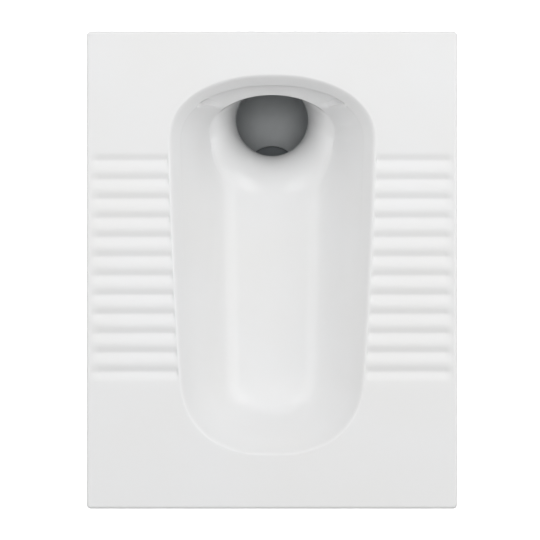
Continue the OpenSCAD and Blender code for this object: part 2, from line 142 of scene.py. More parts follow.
class Bench:
    """The node tree of one material, with its surface shader in place."""

    def __init__(self, name: str) -> None:
        """Starts an empty material.

        Args:
            name: What the material is called.
        """
        self.material = bpy.data.materials.new(name)
        self.material.use_nodes = True
        self.tree = self.material.node_tree
        self.shader = self.tree.nodes["Principled BSDF"]
        self.place = self.node("ShaderNodeTexCoord").outputs["Object"]

    def node(self, kind: str, **values: Any) -> bpy.types.Node:
        """Adds a node.

        Args:
            kind: The node's type name.
            values: Its properties, or its input sockets by name, with _ for a space.

        Returns:
            The new node.
        """
        made = self.tree.nodes.new(kind)
        self.fill(made, **values)
        return made

    def fill(self, node: bpy.types.Node, **values: Any) -> None:
        """Sets or links what a node takes in.

        Args:
            node: The node.
            values: Its properties, or its input sockets by name, with _ for a space.
        """
        for name, value in values.items():
            socket = node.inputs.get(name.replace("_", " "))
            if socket is None:
                setattr(node, name, value)
            elif isinstance(value, bpy.types.NodeSocket):
                self.tree.links.new(value, socket)
            else:
                socket.default_value = value

    def reckon(
        self, operation: str, first: bpy.types.NodeSocket, second: bpy.types.NodeSocket
    ) -> bpy.types.NodeSocket:
        """Works one value out of two.

        Args:
            operation: The math node's operation.
            first: A value.
            second: Another.

        Returns:
            The result.
        """
        made = self.node("ShaderNodeMath", operation=operation)
        for socket, value in zip(made.inputs, (first, second)):
            self.tree.links.new(value, socket)
        return made.outputs[0]

    def noise(self, scale: float, detail: float) -> bpy.types.NodeSocket:
        """A grey noise over the piece's own place.

        Args:
            scale: Patches per metre, about.
            detail: How many finer layers it has.

        Returns:
            Its value, about 0.5 on average.
        """
        return self.node("ShaderNodeTexNoise", Vector=self.place, Scale=scale, Detail=detail).outputs["Fac"]

    def ramp(self, value: bpy.types.NodeSocket, span: Span, to: Span = (0, 1)) -> bpy.types.NodeSocket:
        """Maps a value from one range to another, smoothly and clamped.

        Args:
            value: What is mapped.
            span: The range that it comes from.
            to: What the range's start and end give.

        Returns:
            The mapped value.
        """
        mapped = self.node("ShaderNodeMapRange", interpolation_type="SMOOTHSTEP", Value=value,
                           From_Min=span[0], From_Max=span[1], To_Min=to[0], To_Max=to[1])
        return mapped.outputs["Result"]

    def blend(self, share: bpy.types.NodeSocket, first: Any, second: Any) -> bpy.types.NodeSocket:
        """Mixes two colours.

        Args:
            share: 0 for the first colour and 1 for the second.
            first: A colour or a socket.
            second: A colour or a socket.

        Returns:
            The mixed colour.
        """
        mixed = self.node("ShaderNodeMix", data_type="RGBA")
        self.tree.links.new(share, mixed.inputs["Factor"])
        for socket, value in ((mixed.inputs[6], first), (mixed.inputs[7], second)):
            if isinstance(value, bpy.types.NodeSocket):
                self.tree.links.new(value, socket)
            else:
                socket.default_value = (*value, 1)
        return mixed.outputs[2]

    def relief(self, *layers: tuple[bpy.types.NodeSocket, float]) -> None:
        """Gives the surface its fine relief.

        Args:
            layers: Each a height from 0 to 1 and its depth in metres.
        """
        normal = None
        for height, depth in layers:
            bump = self.node("ShaderNodeBump", Height=height, Distance=depth, Strength=1.0)
            if normal is not None:
                self.tree.links.new(normal, bump.inputs["Normal"])
            normal = bump.outputs["Normal"]
        self.fill(self.shader, Normal=normal)


@dataclass(frozen=True)
class GlazedChina:
    """White glaze over vitreous china, which is bare where it stood in the kiln."""

    white: Colour = (0.800, 0.803, 0.806)
    warmth: Colour = (0.992, 0.988, 0.980)
    biscuit: Colour = (0.72, 0.69, 0.64)
    roughness: Span = (0.15, 0.20)
    refraction: float = 1.52
    cloud_scale: float = 9
    cloud_span: Span = (0.3, 0.7)
    gloss_scale: float = 26
    gloss_span: Span = (0.25, 0.75)
    ripple_scale: float = 22
    ripple_depth: float = 0.25 * MM
    grain_scale: float = 420
    grain_depth: float = 0.010 * MM
    foot_z: float = 1.5 * MM
    foot_fade: float = 0.8 * MM
    skirt_x: float = 205 * MM
    skirt_y: float = 272 * MM
    skirt_fade: float = 1 * MM

    def build(self) -> bpy.types.Material:
        """Makes the material.

        Returns:
            The finished material.
        """
        bench = Bench(Slot.CHINA.value)
        foot = self.foot(bench)
        cloud = bench.ramp(bench.noise(self.cloud_scale, 3), self.cloud_span)
        warm = tuple(c * k for c, k in zip(self.white, self.warmth))
        glaze = bench.blend(cloud, self.white, warm)
        gloss = bench.ramp(bench.noise(self.gloss_scale, 2), self.gloss_span, self.roughness)
        bench.fill(bench.shader, Base_Color=bench.blend(foot, glaze, self.biscuit), Roughness=gloss,
                   IOR=self.refraction)
        bench.relief((bench.noise(self.ripple_scale, 1), self.ripple_depth),
                     (bench.noise(self.grain_scale, 2), self.grain_depth))
        return bench.material

    def foot(self, bench: Bench) -> bpy.types.NodeSocket:
        """Finds the skirt's lower edge, which stood on the kiln's shelf.

        Args:
            bench: The material's nodes.

        Returns:
            1 on the bare edge and 0 elsewhere.
        """
        away = bench.node("ShaderNodeVectorMath", operation="ABSOLUTE")
        bench.tree.links.new(bench.place, away.inputs[0])
        parts = bench.node("ShaderNodeSeparateXYZ", Vector=away.outputs[0])
        low = bench.ramp(parts.outputs["Z"], (self.foot_z, self.foot_z + self.foot_fade), (1, 0))
        beside = bench.ramp(parts.outputs["X"], (self.skirt_x, self.skirt_x + self.skirt_fade))
        beyond = bench.ramp(parts.outputs["Y"], (self.skirt_y, self.skirt_y + self.skirt_fade))
        return bench.reckon("MULTIPLY", low, bench.reckon("MAXIMUM", beside, beyond))


@dataclass(frozen=True)
class SealRubber:
    """Black moulded rubber with a faint grey bloom."""

    black: Colour = (0.024, 0.024, 0.026)
    bloom: Colour = (0.052, 0.052, 0.055)
    roughness: Span = (0.52, 0.72)
    bloom_scale: float = 60
    bloom_span: Span = (0.42, 0.72)
    wear_scale: float = 90
    wear_span: Span = (0.3, 0.7)
    grain_scale: float = 900
    grain_depth: float = 0.02 * MM
    wave_scale: float = 45
    wave_depth: float = 0.12 * MM

    def build(self) -> bpy.types.Material:
        """Makes the material.

        Returns:
            The finished material.
        """
        bench = Bench(Slot.RUBBER.value)
        dust = bench.ramp(bench.noise(self.bloom_scale, 5), self.bloom_span)
        wear = bench.ramp(bench.noise(self.wear_scale, 3), self.wear_span, self.roughness)
        bench.fill(bench.shader, Base_Color=bench.blend(dust, self.black, self.bloom), Roughness=wear)
        bench.relief((bench.noise(self.grain_scale, 3), self.grain_depth),
                     (bench.noise(self.wave_scale, 2), self.wave_depth))
        return bench.material


@dataclass(frozen=True)
class MouldedPlastic:
    """Rigid plastic with the flow marks and the fine grain of its mould."""

    slot: Slot
    colour: Colour
    flow: Colour
    roughness: Span
    grain_scale: float
    grain_depth: float
    flow_scale: float = 28
    flow_detail: float = 4
    flow_stretch: Place = (1.0, 1.0, 0.35)
    flow_bend: float = 0.8
    flow_span: Span = (0.35, 0.7)
    scuff_scale: float = 140
    scuff_span: Span = (0.35, 0.75)
    wave_scale: float = 35
    wave_depth: float = 0.15 * MM

    def build(self) -> bpy.types.Material:
        """Makes the material.

        Returns:
            The finished material.
        """
        bench = Bench(self.slot.value)
        stretched = bench.node("ShaderNodeMapping", Vector=bench.place, Scale=self.flow_stretch)
        marks = bench.node("ShaderNodeTexNoise", Vector=stretched.outputs[0], Scale=self.flow_scale,
                           Detail=self.flow_detail, Distortion=self.flow_bend)
        share = bench.ramp(marks.outputs["Fac"], self.flow_span)
        scuffs = bench.ramp(bench.noise(self.scuff_scale, 6), self.scuff_span, self.roughness)
        bench.fill(bench.shader, Base_Color=bench.blend(share, self.colour, self.flow), Roughness=scuffs)
        bench.relief((bench.noise(self.grain_scale, 2), self.grain_depth),
                     (bench.noise(self.wave_scale, 1), self.wave_depth))
        return bench.material


FINISHES = {
    Slot.CHINA: GlazedChina(),
    Slot.RUBBER: SealRubber(),
    Slot.TRAP: MouldedPlastic(
        Slot.TRAP, colour=(0.62, 0.64, 0.65), flow=(0.585, 0.605, 0.615), roughness=(0.30, 0.44),
        grain_scale=700, grain_depth=0.02 * MM,
    ),
    Slot.CAP: MouldedPlastic(
        Slot.CAP, colour=(0.33, 0.35, 0.37), flow=(0.28, 0.30, 0.32), roughness=(0.42, 0.58),
        grain_scale=2200, grain_depth=0.03 * MM,
    ),
}


# ---------- modelling ----------


def nothing_selected() -> None:
    """Deselects every object, so that an operator acts on new work alone."""
    bpy.ops.object.select_all(action="DESELECT")


def pick(piece: bpy.types.Object) -> None:
    """Selects one object alone and makes it the active one.

    Args:
        piece: The object.
    """
    nothing_selected()
    piece.select_set(True)
    bpy.context.view_layer.objects.active = piece


def finished(
    piece: bpy.types.Object, name: str, material: bpy.types.Material, angle: float = 35
) -> bpy.types.Object:
    """Names a piece, smooths it and gives it its material.

    Args:
        piece: The mesh object.
        name: Its name.
        material: Its finish.
        angle: Edges sharper than this, in degrees, stay sharp.

    Returns:
        The same object.
    """
    pick(piece)
    bpy.ops.object.shade_smooth_by_angle(angle=math.radians(angle))
    piece.name = name
    piece.data.name = name
    piece.data.materials.clear()
    piece.data.materials.append(material)
    return piece


# Corners that are closer than this are one.
SAME_PLACE = 0.0005 * MM


class Skin:
    """A closed skin that is pulled ring by ring from a circle."""

    def __init__(self, first: np.ndarray) -> None:
        """Adds the circle and lays it on the first ring.

        Args:
            first: The ring's points, one row each.
        """
        self.count = len(first)
        nothing_selected()
        radius = np.abs(first).max()
        bpy.ops.mesh.primitive_circle_add(vertices=self.count, radius=radius, enter_editmode=True)
        self.piece = bpy.context.object
        bpy.ops.mesh.select_mode(type="VERT")
        bpy.ops.mesh.select_all(action="SELECT")
        bm = bmesh.from_edit_mesh(self.piece.data)
        bm.verts.ensure_lookup_table()
        self.rank = self.walk(bm)
        self.first_rank = list(self.rank)
        self.lay(first)

    def walk(self, bm: bmesh.types.BMesh) -> list[int]:
        """Follows the circle round, counter-clockwise from above.

        Args:
            bm: The mesh in edit mode.

        Returns:
            The vertices' indices in order.
        """
        order = [0]
        ahead = [e.other_vert(bm.verts[0]) for e in bm.verts[0].link_edges]
        here = bm.verts[0].co
        step = max(ahead, key=lambda v: here.x * v.co.y - here.y * v.co.x)
        order.append(step.index)
        while len(order) < self.count:
            vert = bm.verts[order[-1]]
            order.append(next(e.other_vert(vert).index for e in vert.link_edges
                              if e.other_vert(vert).index != order[-2]))
        return order

    def lay(self, ring: np.ndarray) -> None:
        """Moves the ring that was pulled last to its place.

        Args:
            ring: The ring's points.
        """
        bm = bmesh.from_edit_mesh(self.piece.data)
        bm.verts.ensure_lookup_table()
        for index, point in zip(self.rank, ring):
            bm.verts[index].co = point
        bmesh.update_edit_mesh(self.piece.data, loop_triangles=False, destructive=False)

    def pull(self, *rings: np.ndarray) -> None:
        """Extrudes the open edge to each of these rings in turn.

        Args:
            rings: Their points.
        """
        for ring in rings:
            bpy.ops.mesh.extrude_edges_move()
            bm = bmesh.from_edit_mesh(self.piece.data)
            bm.verts.ensure_lookup_table()
            place = {old: k for k, old in enumerate(self.rank)}
            fresh = [0] * self.count
            for vert in bm.verts[-self.count:]:
                old = next(o.index for o in (e.other_vert(vert) for e in vert.link_edges) if not o.select)
                fresh[place[old]] = vert.index
            self.rank = fresh
            self.lay(ring)

    def divide(self, cuts: int) -> None:
        """Cuts the band between the last two rings into even rings.

        Args:
            cuts: How many rings go in between.
        """
        bm = bmesh.from_edit_mesh(self.piece.data)
        bm.verts.ensure_lookup_table()
        outer = set(self.rank)
        bpy.ops.mesh.select_all(action="DESELECT")
        bpy.ops.mesh.select_mode(type="EDGE")
        for index in self.rank:
            for edge in bm.verts[index].link_edges:
                if edge.other_vert(bm.verts[index]).index not in outer:
                    edge.select = True
        bpy.ops.mesh.subdivide_edgering(number_cuts=cuts, interpolation="LINEAR")
        bpy.ops.mesh.select_all(action="DESELECT")
        bpy.ops.mesh.select_mode(type="VERT")
        self.select(self.rank)

    def select(self, indices: list[int]) -> None:
        """Selects vertices and the edges between them.

        Args:
            indices: The vertices' indices.
        """
        bm = bmesh.from_edit_mesh(self.piece.data)
        bm.verts.ensure_lookup_table()
        for index in indices:
            bm.verts[index].select = True
        bm.select_flush(True)
        bmesh.update_edit_mesh(self.piece.data)

    def close(self, first: np.ndarray) -> bpy.types.Object:
        """Pulls the last edge back to the first ring and seals it.

        Args:
            first: The first ring's points.

        Returns:
            The finished closed mesh.
        """
        self.pull(first)
        return self.seal()

    def cap(self) -> bpy.types.Object:
        """Closes the last ring and the first one with a face each.

        Returns:
            The finished closed mesh.
        """
        bpy.ops.mesh.edge_face_add()
        bpy.ops.mesh.select_all(action="DESELECT")
        self.select(self.first_rank)
        bpy.ops.mesh.edge_face_add()
        return self.seal()

    def seal(self) -> bpy.types.Object:
        """Merges doubles, turns the faces outwards and leaves edit mode.

        Returns:
            The mesh object.
        """
        bpy.ops.mesh.select_all(action="SELECT")
        bpy.ops.mesh.remove_doubles(threshold=SAME_PLACE)
        bpy.ops.mesh.normals_make_consistent(inside=False)
        bpy.ops.object.mode_set(mode="OBJECT")
        return self.piece


# Where a pipe heads, in degrees.
UP, DOWN, BACKWARDS, FORWARDS = 90, -90, 0, 180

# Points round a pipe: even steps, with a few more at both seams of its mould, whose crest is
# SEAM_REACH steps wide on each side. A bend has a ring at every BEND_STEP degrees.
SEAM_STEP = math.radians(0.55)
SEAM_REACH = 1.6
SEAMS = (np.pi / 2, 3 * np.pi / 2)
PIPE_STEPS = 96
BEND_STEP = 5


def even_turns(count: int) -> np.ndarray:
    """Even angles once round."""
    return np.arange(count) * 2 * np.pi / count


SEAM_TURNS = [seam + k * SEAM_STEP for seam in SEAMS for k in (-2, -1, 1, 2)]
PIPE_TURNS = np.sort(np.append(even_turns(PIPE_STEPS), SEAM_TURNS))


@dataclass(frozen=True)
class Hoop:
    """A ring round a pipe whose centre line lies in the plane X = 0."""

    y: float
    z: float
    radius: float | np.ndarray
    heading: float = UP
    seam: float = 0

    def points(self, around: np.ndarray) -> np.ndarray:
        """Places the ring square to the pipe.

        Args:
            around: The points' angles. The mould's seams lie at 90 and 270 degrees.

        Returns:
            The ring's points.
        """
        near = np.minimum(*(np.abs(around - seam) for seam in SEAMS))
        crest = np.clip(SEAM_REACH - near / SEAM_STEP, 0, 1)
        radius = self.radius + self.seam * crest
        beside = radius * np.sin(around)
        turn = math.radians(self.heading)
        return np.column_stack([radius * np.cos(around), self.y - beside * math.sin(turn),
                                self.z + beside * math.cos(turn)])


def upright(y: float, profile: Profile, seam: float = 0.0) -> list[Hoop]:
    """Rings round an upright axis.

    Args:
        y: Where the axis stands.
        profile: The rings' radii and heights.
        seam: Height of the mould's seam.

    Returns:
        The rings in order.
    """
    return [Hoop(y, z, r, UP, seam) for r, z in profile]


def lying(z: float, profile: Profile) -> list[Hoop]:
    """Rings round an axis that runs to the back at one height.

    Args:
        z: The axis's height.
        profile: The rings' radii and places along Y.

    Returns:
        The rings in order.
    """
    return [Hoop(y, z, r, BACKWARDS) for r, y in profile]


def round_bend(
    y: float, z: float, bend_r: float, start: int, end: int, radius: float, seam: float = 0.0
) -> list[Hoop]:
    """Rings round a pipe's bend, one at each step.

    Args:
        y: Middle of the bend.
        z: Its height.
        bend_r: Radius of the centre line.
        start: Place on the bend in degrees: 0 is its rear side and 90 its top.
        end: Place where it stops.
        radius: The pipe's radius.
        seam: Height of the mould's seam.

    Returns:
        The rings in order.
    """
    way = 1 if end > start else -1
    hoops = []
    for degrees in range(start, end + way * BEND_STEP, way * BEND_STEP):
        turn = math.radians(degrees)
        beside, above = bend_r * math.cos(turn), bend_r * math.sin(turn)
        hoops.append(Hoop(y + beside, z + above, radius, degrees + way * 90, seam))
    return hoops


def band(radius: float, start: float, end: float, height: float, slope: float) -> Profile:
    """A raised band on a profile, with slanting sides.

    Args:
        radius: The profile's radius beside the band.
        start: Where the band starts.
        end: Where it ends.
        height: How far it stands out.
        slope: How long each side is.

    Returns:
        Its four points.
    """
    side = math.copysign(slope, end - start)
    return [(radius, start), (radius + height, start + side), (radius + height, end - side), (radius, end)]


def quarter(*degrees: float) -> list[tuple[float, float]]:
    """Points of a quarter circle that rounds a corner.

    Args:
        degrees: How far round each point is, from 0 to 90.

    Returns:
        For each point the share of the radius that is gone on one side, which grows from 0 to 1,
        and the share that is left on the other, which falls from 1 to 0.
    """
    return [(1 - math.cos(turn), 1 - math.sin(turn)) for turn in np.radians(degrees)]


def skinned(rings: list[np.ndarray]) -> bpy.types.Object:
    """Skins rings of which the last joins the first.

    Args:
        rings: Their points.

    Returns:
        The closed mesh.
    """
    skin = Skin(rings[0])
    skin.pull(*rings[1:])
    return skin.close(rings[0])


def shell(hoops: list[Hoop]) -> bpy.types.Object:
    """Skins a hollow pipe: out along one side of its wall and back along the other."""
    return skinned([hoop.points(PIPE_TURNS) for hoop in hoops])


def solid(hoops: list[Hoop], around: np.ndarray = PIPE_TURNS) -> bpy.types.Object:
    """Skins a piece whose first and last rings are closed with faces.

    Args:
        hoops: The rings in order.
        around: The angles of their points.

    Returns:
        The closed mesh.
    """
    rings = [hoop.points(around) for hoop in hoops]
    skin = Skin(rings[0])
    skin.pull(*rings[1:])
    return skin.cap()


def apply_modifier(piece: bpy.types.Object, kind: str, **values: Any) -> None:
    """Adds a modifier and applies it.

    Args:
        piece: The mesh object.
        kind: The modifier's type.
        values: Its settings.
    """
    pick(piece)
    modifier = piece.modifiers.new(kind.lower(), kind)
    for name, value in values.items():
        setattr(modifier, name, value)
    bpy.ops.object.modifier_apply(modifier=modifier.name)


def merge(piece: bpy.types.Object, other: bpy.types.Object, how: Merge) -> None:
    """Joins a solid to a piece or cuts it out, and deletes the solid.

    Args:
        piece: The piece that stays.
        other: The solid.
        how: Whether it is joined or cut out.
    """
    apply_modifier(piece, "BOOLEAN", object=other, operation=how.value, solver="EXACT")
    pick(other)
    bpy.ops.object.delete()


def soften(
    piece: bpy.types.Object, width: float, segments: int = 3, angle: float = 40
) -> bpy.types.Object:
    """Rounds the edges that are sharper than an angle.

    Args:
        piece: The mesh object.
        width: How far the rounding reaches from the edge.
        segments: Its faces.
        angle: The least angle that is rounded, in degrees.

    Returns:
        The same object.
    """
    apply_modifier(piece, "BEVEL", width=width, segments=segments, limit_method="ANGLE",
                   angle_limit=math.radians(angle))
    return piece


def block(low: Place, high: Place, name: str) -> bpy.types.Object:
    """Adds a plain block between two corners, to be shaped further.

    Args:
        low: Its lowest corner.
        high: Its highest corner.
        name: What it is called.

    Returns:
        The block, with its place in its mesh.
    """
    nothing_selected()
    middle = [(a + b) / 2 for a, b in zip(low, high)]
    bpy.ops.mesh.primitive_cube_add(size=1, location=middle, scale=[b - a for a, b in zip(low, high)])
    bpy.ops.object.transform_apply(location=True, rotation=True, scale=True)
    bpy.context.object.name = name
    return bpy.context.object


# ---------- the china pan ----------


def mixed(a: Any, b: Any, share: Any) -> np.ndarray:
    """Goes from a to b.

    Args:
        a: Where share is 0.
        b: Where share is 1.
        share: One value, or one for each point.

    Returns:
        The values between.
    """
    if isinstance(share, np.ndarray) and np.ndim(a) == 2:
        share = share[:, None]
    return a + (b - a) * share


def eased(value: Any) -> Any:
    """Clamps to 0..1 with a soft start and end."""
    clamped = np.clip(value, 0, 1)
    return clamped * clamped * (3 - 2 * clamped)


def power(value: np.ndarray, exponent: float) -> np.ndarray:
    """Raises the size of a value and keeps its sign."""
    return np.sign(value) * np.abs(value) ** exponent


def raised(flat: np.ndarray, level: Any) -> np.ndarray:
    """Gives flat points their height.

    Args:
        flat: Points in plan.
        level: One height, or one for each point.

    Returns:
        The points in space.
    """
    return np.column_stack([flat, np.broadcast_to(level, len(flat))])


@dataclass
class Opening:
    """The opening's outline, which the deck, the lip and the well share.

    A ring starts at the right-hand end of the rounded back and runs counter-clockwise: over the
    back, down the left side, round the front and up the right side.
    """

    half_width: float = 118.1 * MM
    taper: float = 0.048
    barrel: float = 0.07
    back_y: float = 155 * MM
    back_reach: float = 80.6 * MM
    back_power: float = 2.2
    front_y: float = -133 * MM
    front_reach: float = 90.5 * MM
    front_power: float = 2.4
    side_end_y: float = -136.5 * MM
    back_steps: int = 72
    side_steps: int = 200
    front_steps: int = 68

    def __post_init__(self) -> None:
        """Works out where each point of a ring lies along its stretch."""
        over = (self.front_y - self.side_end_y) / self.front_reach
        skip = math.asin(over ** (self.front_power / 2)) / math.pi
        back = np.arange(self.back_steps) / self.back_steps
        side_y = np.linspace(self.back_y, self.side_end_y, self.side_steps, endpoint=False)
        front = np.linspace(skip, 1 - skip, self.front_steps, endpoint=False)
        self.is_back = np.repeat([True, False, False, False], self.lengths())
        self.is_front = np.repeat([False, False, True, False], self.lengths())
        self.side = np.repeat([0, -1, 0, 1], self.lengths())
        back_up = np.append(side_y[1:], self.side_end_y)[::-1]
        self.row_y = np.concatenate([back * 0, side_y, front * 0, back_up])
        self.turn = np.radians(180) * np.concatenate([back, side_y * 0, 1 + front, back_up * 0])

    def lengths(self) -> list[int]:
        """Points on each of the four stretches."""
        return [self.back_steps, self.side_steps, self.front_steps, self.side_steps]

    def half(self, y: np.ndarray) -> np.ndarray:
        """Half width of the opening's sides at y."""
        return self.half_width + self.taper * y - self.barrel * y * y

    def outline(self, back: float, side: float, front: float) -> np.ndarray:
        """The opening's edge, moved outwards.

        Args:
            back: How far at the back.
            side: How far at the sides.
            front: How far at the front.

        Returns:
            One ring in plan.
        """
        back_y = self.back_y + (self.back_reach + back) * power(np.sin(self.turn), 2 / self.back_power)
        front_y = self.front_y + (self.front_reach + front) * power(np.sin(self.turn), 2 / self.front_power)
        y = np.where(self.is_back, back_y, np.where(self.is_front, front_y, self.row_y))
        over = np.maximum(0, (self.front_y - self.row_y) / (self.front_reach + front))
        across = np.where(self.is_back, power(np.cos(self.turn), 2 / self.back_power),
                          np.where(self.is_front, power(np.cos(self.turn), 2 / self.front_power),
                                   self.side * (1 - over ** self.front_power) ** (1 / self.front_power)))
        return np.column_stack([(self.half(y) + side) * across, y])

    def offset(self, by: float) -> np.ndarray:
        """The opening's edge, moved outwards by the same on every side."""
        return self.outline(by, by, by)

    def reach(self, flat: np.ndarray, inset: Inset) -> np.ndarray:
        """0 on the well's centre line and 1 on the outline with this inset.

        Args:
            flat: Points in plan.
            inset: Back, side and front inset.

        Returns:
            One value for each point.
        """
        x, y = flat[:, 0], flat[:, 1]
        back = y > self.back_y
        over = np.where(back, (y - self.back_y) / (self.back_reach + inset[0]),
                        np.maximum(0, (self.front_y - y) / (self.front_reach + inset[2])))
        n = np.where(back, self.back_power, self.front_power)
        return ((np.abs(x) / (self.half(y) + inset[1])) ** n + over ** n) ** (1 / n)


@dataclass
class Treads:
    """The two ribbed treads: a smooth wave whose hollows fade out towards both ends."""

    count: int = 12
    pitch: float = 23.35 * MM
    depth: float = 2.6 * MM
    back_y: float = 133.2 * MM
    rise: float = 0.57
    valley_power: float = 0.78
    outer_land: float = 3.5 * MM
    inner_land: float = 2.5 * MM
    outer_run: float = 11 * MM
    inner_run: float = 2.5 * MM

    def pressed(self, flat: np.ndarray, opening: Opening, deck_half: float) -> np.ndarray:
        """How deep the hollows are.

        Args:
            flat: Points of the deck's top, in plan.
            opening: The opening beside the treads.
            deck_half: Half the deck's width.

        Returns:
            The depth at each point.
        """
        x, y = np.abs(flat[:, 0]), flat[:, 1]
        steps = (self.back_y - y) / self.pitch
        row = np.floor(steps + 1 - self.rise)
        phase = steps - row
        turn = np.abs(np.where(phase > 0, phase / self.rise, phase / (1 - self.rise)))
        wave = (1 + np.cos(np.pi * turn ** self.valley_power)) / 2
        start = opening.half(self.back_y - row * self.pitch) + self.inner_land
        end = deck_half - self.outer_land
        into = np.minimum((x - start) / self.inner_run, (end - x) / self.outer_run)
        return self.depth * np.where((row >= 0) & (row < self.count), wave * np.clip(into, 0, 1), 0)


@dataclass
class FootDeck:
    """The foot deck: the ribbed top round the opening, and the skirt that stands on the floor."""

    opening: Opening
    treads: Treads
    width: float
    length: float
    top: float
    thick: float = DECK_THICK
    edge_r: float = 3.5 * MM
    corner_r: float = 5 * MM
    inside_r: float = 5 * MM
    foot_r: float = 1.2 * MM
    collar: float = RIM_COLLAR
    least_r: float = 0.6 * MM
    top_cuts: int = 84
    edge_steps: int = 8
    inside_steps: int = 6
    corner_steps: int = 8

    def rectangle(self, inset: float, level: float) -> np.ndarray:
        """A rectangle with round corners, whose side points keep to the opening's rows.

        Args:
            inset: How far inside the deck's edge it runs.
            level: Its height.

        Returns:
            One ring.
        """
        half_w, half_l = self.width / 2 - inset, self.length / 2 - inset
        r = max(self.corner_r - inset, self.least_r)
        back = self.end_stretch(self.opening.back_steps, half_w, half_l, r, self.opening.back_y)
        front = self.end_stretch(self.opening.front_steps, half_w, half_l, r, -self.opening.side_end_y)
        flat = np.column_stack([self.opening.side * half_w, self.opening.row_y])
        flat[self.opening.is_back] = back
        flat[self.opening.is_front] = -front
        return raised(flat, level)

    def end_stretch(self, steps: int, half_w: float, half_l: float, r: float, from_y: float) -> np.ndarray:
        """Runs up the right edge, round both corners and down the left edge.

        Args:
            steps: Points in all.
            half_w: Half the rectangle's width.
            half_l: Half its length.
            r: Radius of its corners.
            from_y: Where the stretch leaves the right edge.

        Returns:
            The points in plan, without the last end.
        """
        side = (steps - 2 * self.corner_steps) // 4
        across = steps - 2 * self.corner_steps - 2 * side
        right_turns = np.linspace(0, np.pi / 2, self.corner_steps, endpoint=False)
        right = np.column_stack([half_w - r + r * np.cos(right_turns), half_l - r + r * np.sin(right_turns)])
        up = np.column_stack([np.full(side, half_w), np.linspace(from_y, half_l - r, side, endpoint=False)])
        over = np.column_stack([np.linspace(half_w - r, r - half_w, across, endpoint=False),
                                np.full(across, half_l)])
        left_turns = right_turns + np.pi / 2
        left = np.column_stack([r - half_w + r * np.cos(left_turns), half_l - r + r * np.sin(left_turns)])
        down = np.column_stack([np.full(side, -half_w),
                                np.linspace(half_l - r, from_y, side, endpoint=False)])
        return np.vstack([up, right, over, left, down])

    def build(self, china: bpy.types.Material) -> bpy.types.Object:
        """Models the deck.

        Args:
            china: Its finish.

        Returns:
            The piece.
        """
        hole = self.opening.offset(self.collar)
        top_hole = raised(hole, self.top)
        skin = Skin(top_hole)
        skin.pull(self.rectangle(self.edge_r, self.top))
        skin.divide(self.top_cuts)
        self.press_treads(skin.piece)
        for gone, left in quarter(*np.linspace(0, 90, self.edge_steps + 1)[1:]):
            skin.pull(self.rectangle(self.edge_r * left, self.top - self.edge_r * gone))
        skin.pull(self.rectangle(0, self.foot_r))
        for gone, left in quarter(30, 60, 90):
            skin.pull(self.rectangle(self.foot_r * gone, self.foot_r * left))
        for gone, left in quarter(0, 30, 60, 90):
            skin.pull(self.rectangle(self.thick - self.foot_r * left, self.foot_r * gone))
        underside = self.top - self.thick
        for gone, left in quarter(*np.linspace(0, 90, self.inside_steps + 1)):
            skin.pull(self.rectangle(self.thick + self.inside_r * gone, underside - self.inside_r * left))
        skin.pull(raised(hole, underside))
        return finished(skin.close(top_hole), "foot_deck", china, angle=50)

    def press_treads(self, piece: bpy.types.Object) -> None:
        """Presses the grooves into the deck's top.

        Args:
            piece: The mesh in edit mode, with only its flat top.
        """
        bm = bmesh.from_edit_mesh(piece.data)
        flat = np.array([v.co.xy for v in bm.verts])
        depth = self.treads.pressed(flat, self.opening, self.width / 2)
        for vert, down in zip(bm.verts, depth):
            vert.co.z -= down
        bmesh.update_edit_mesh(piece.data)


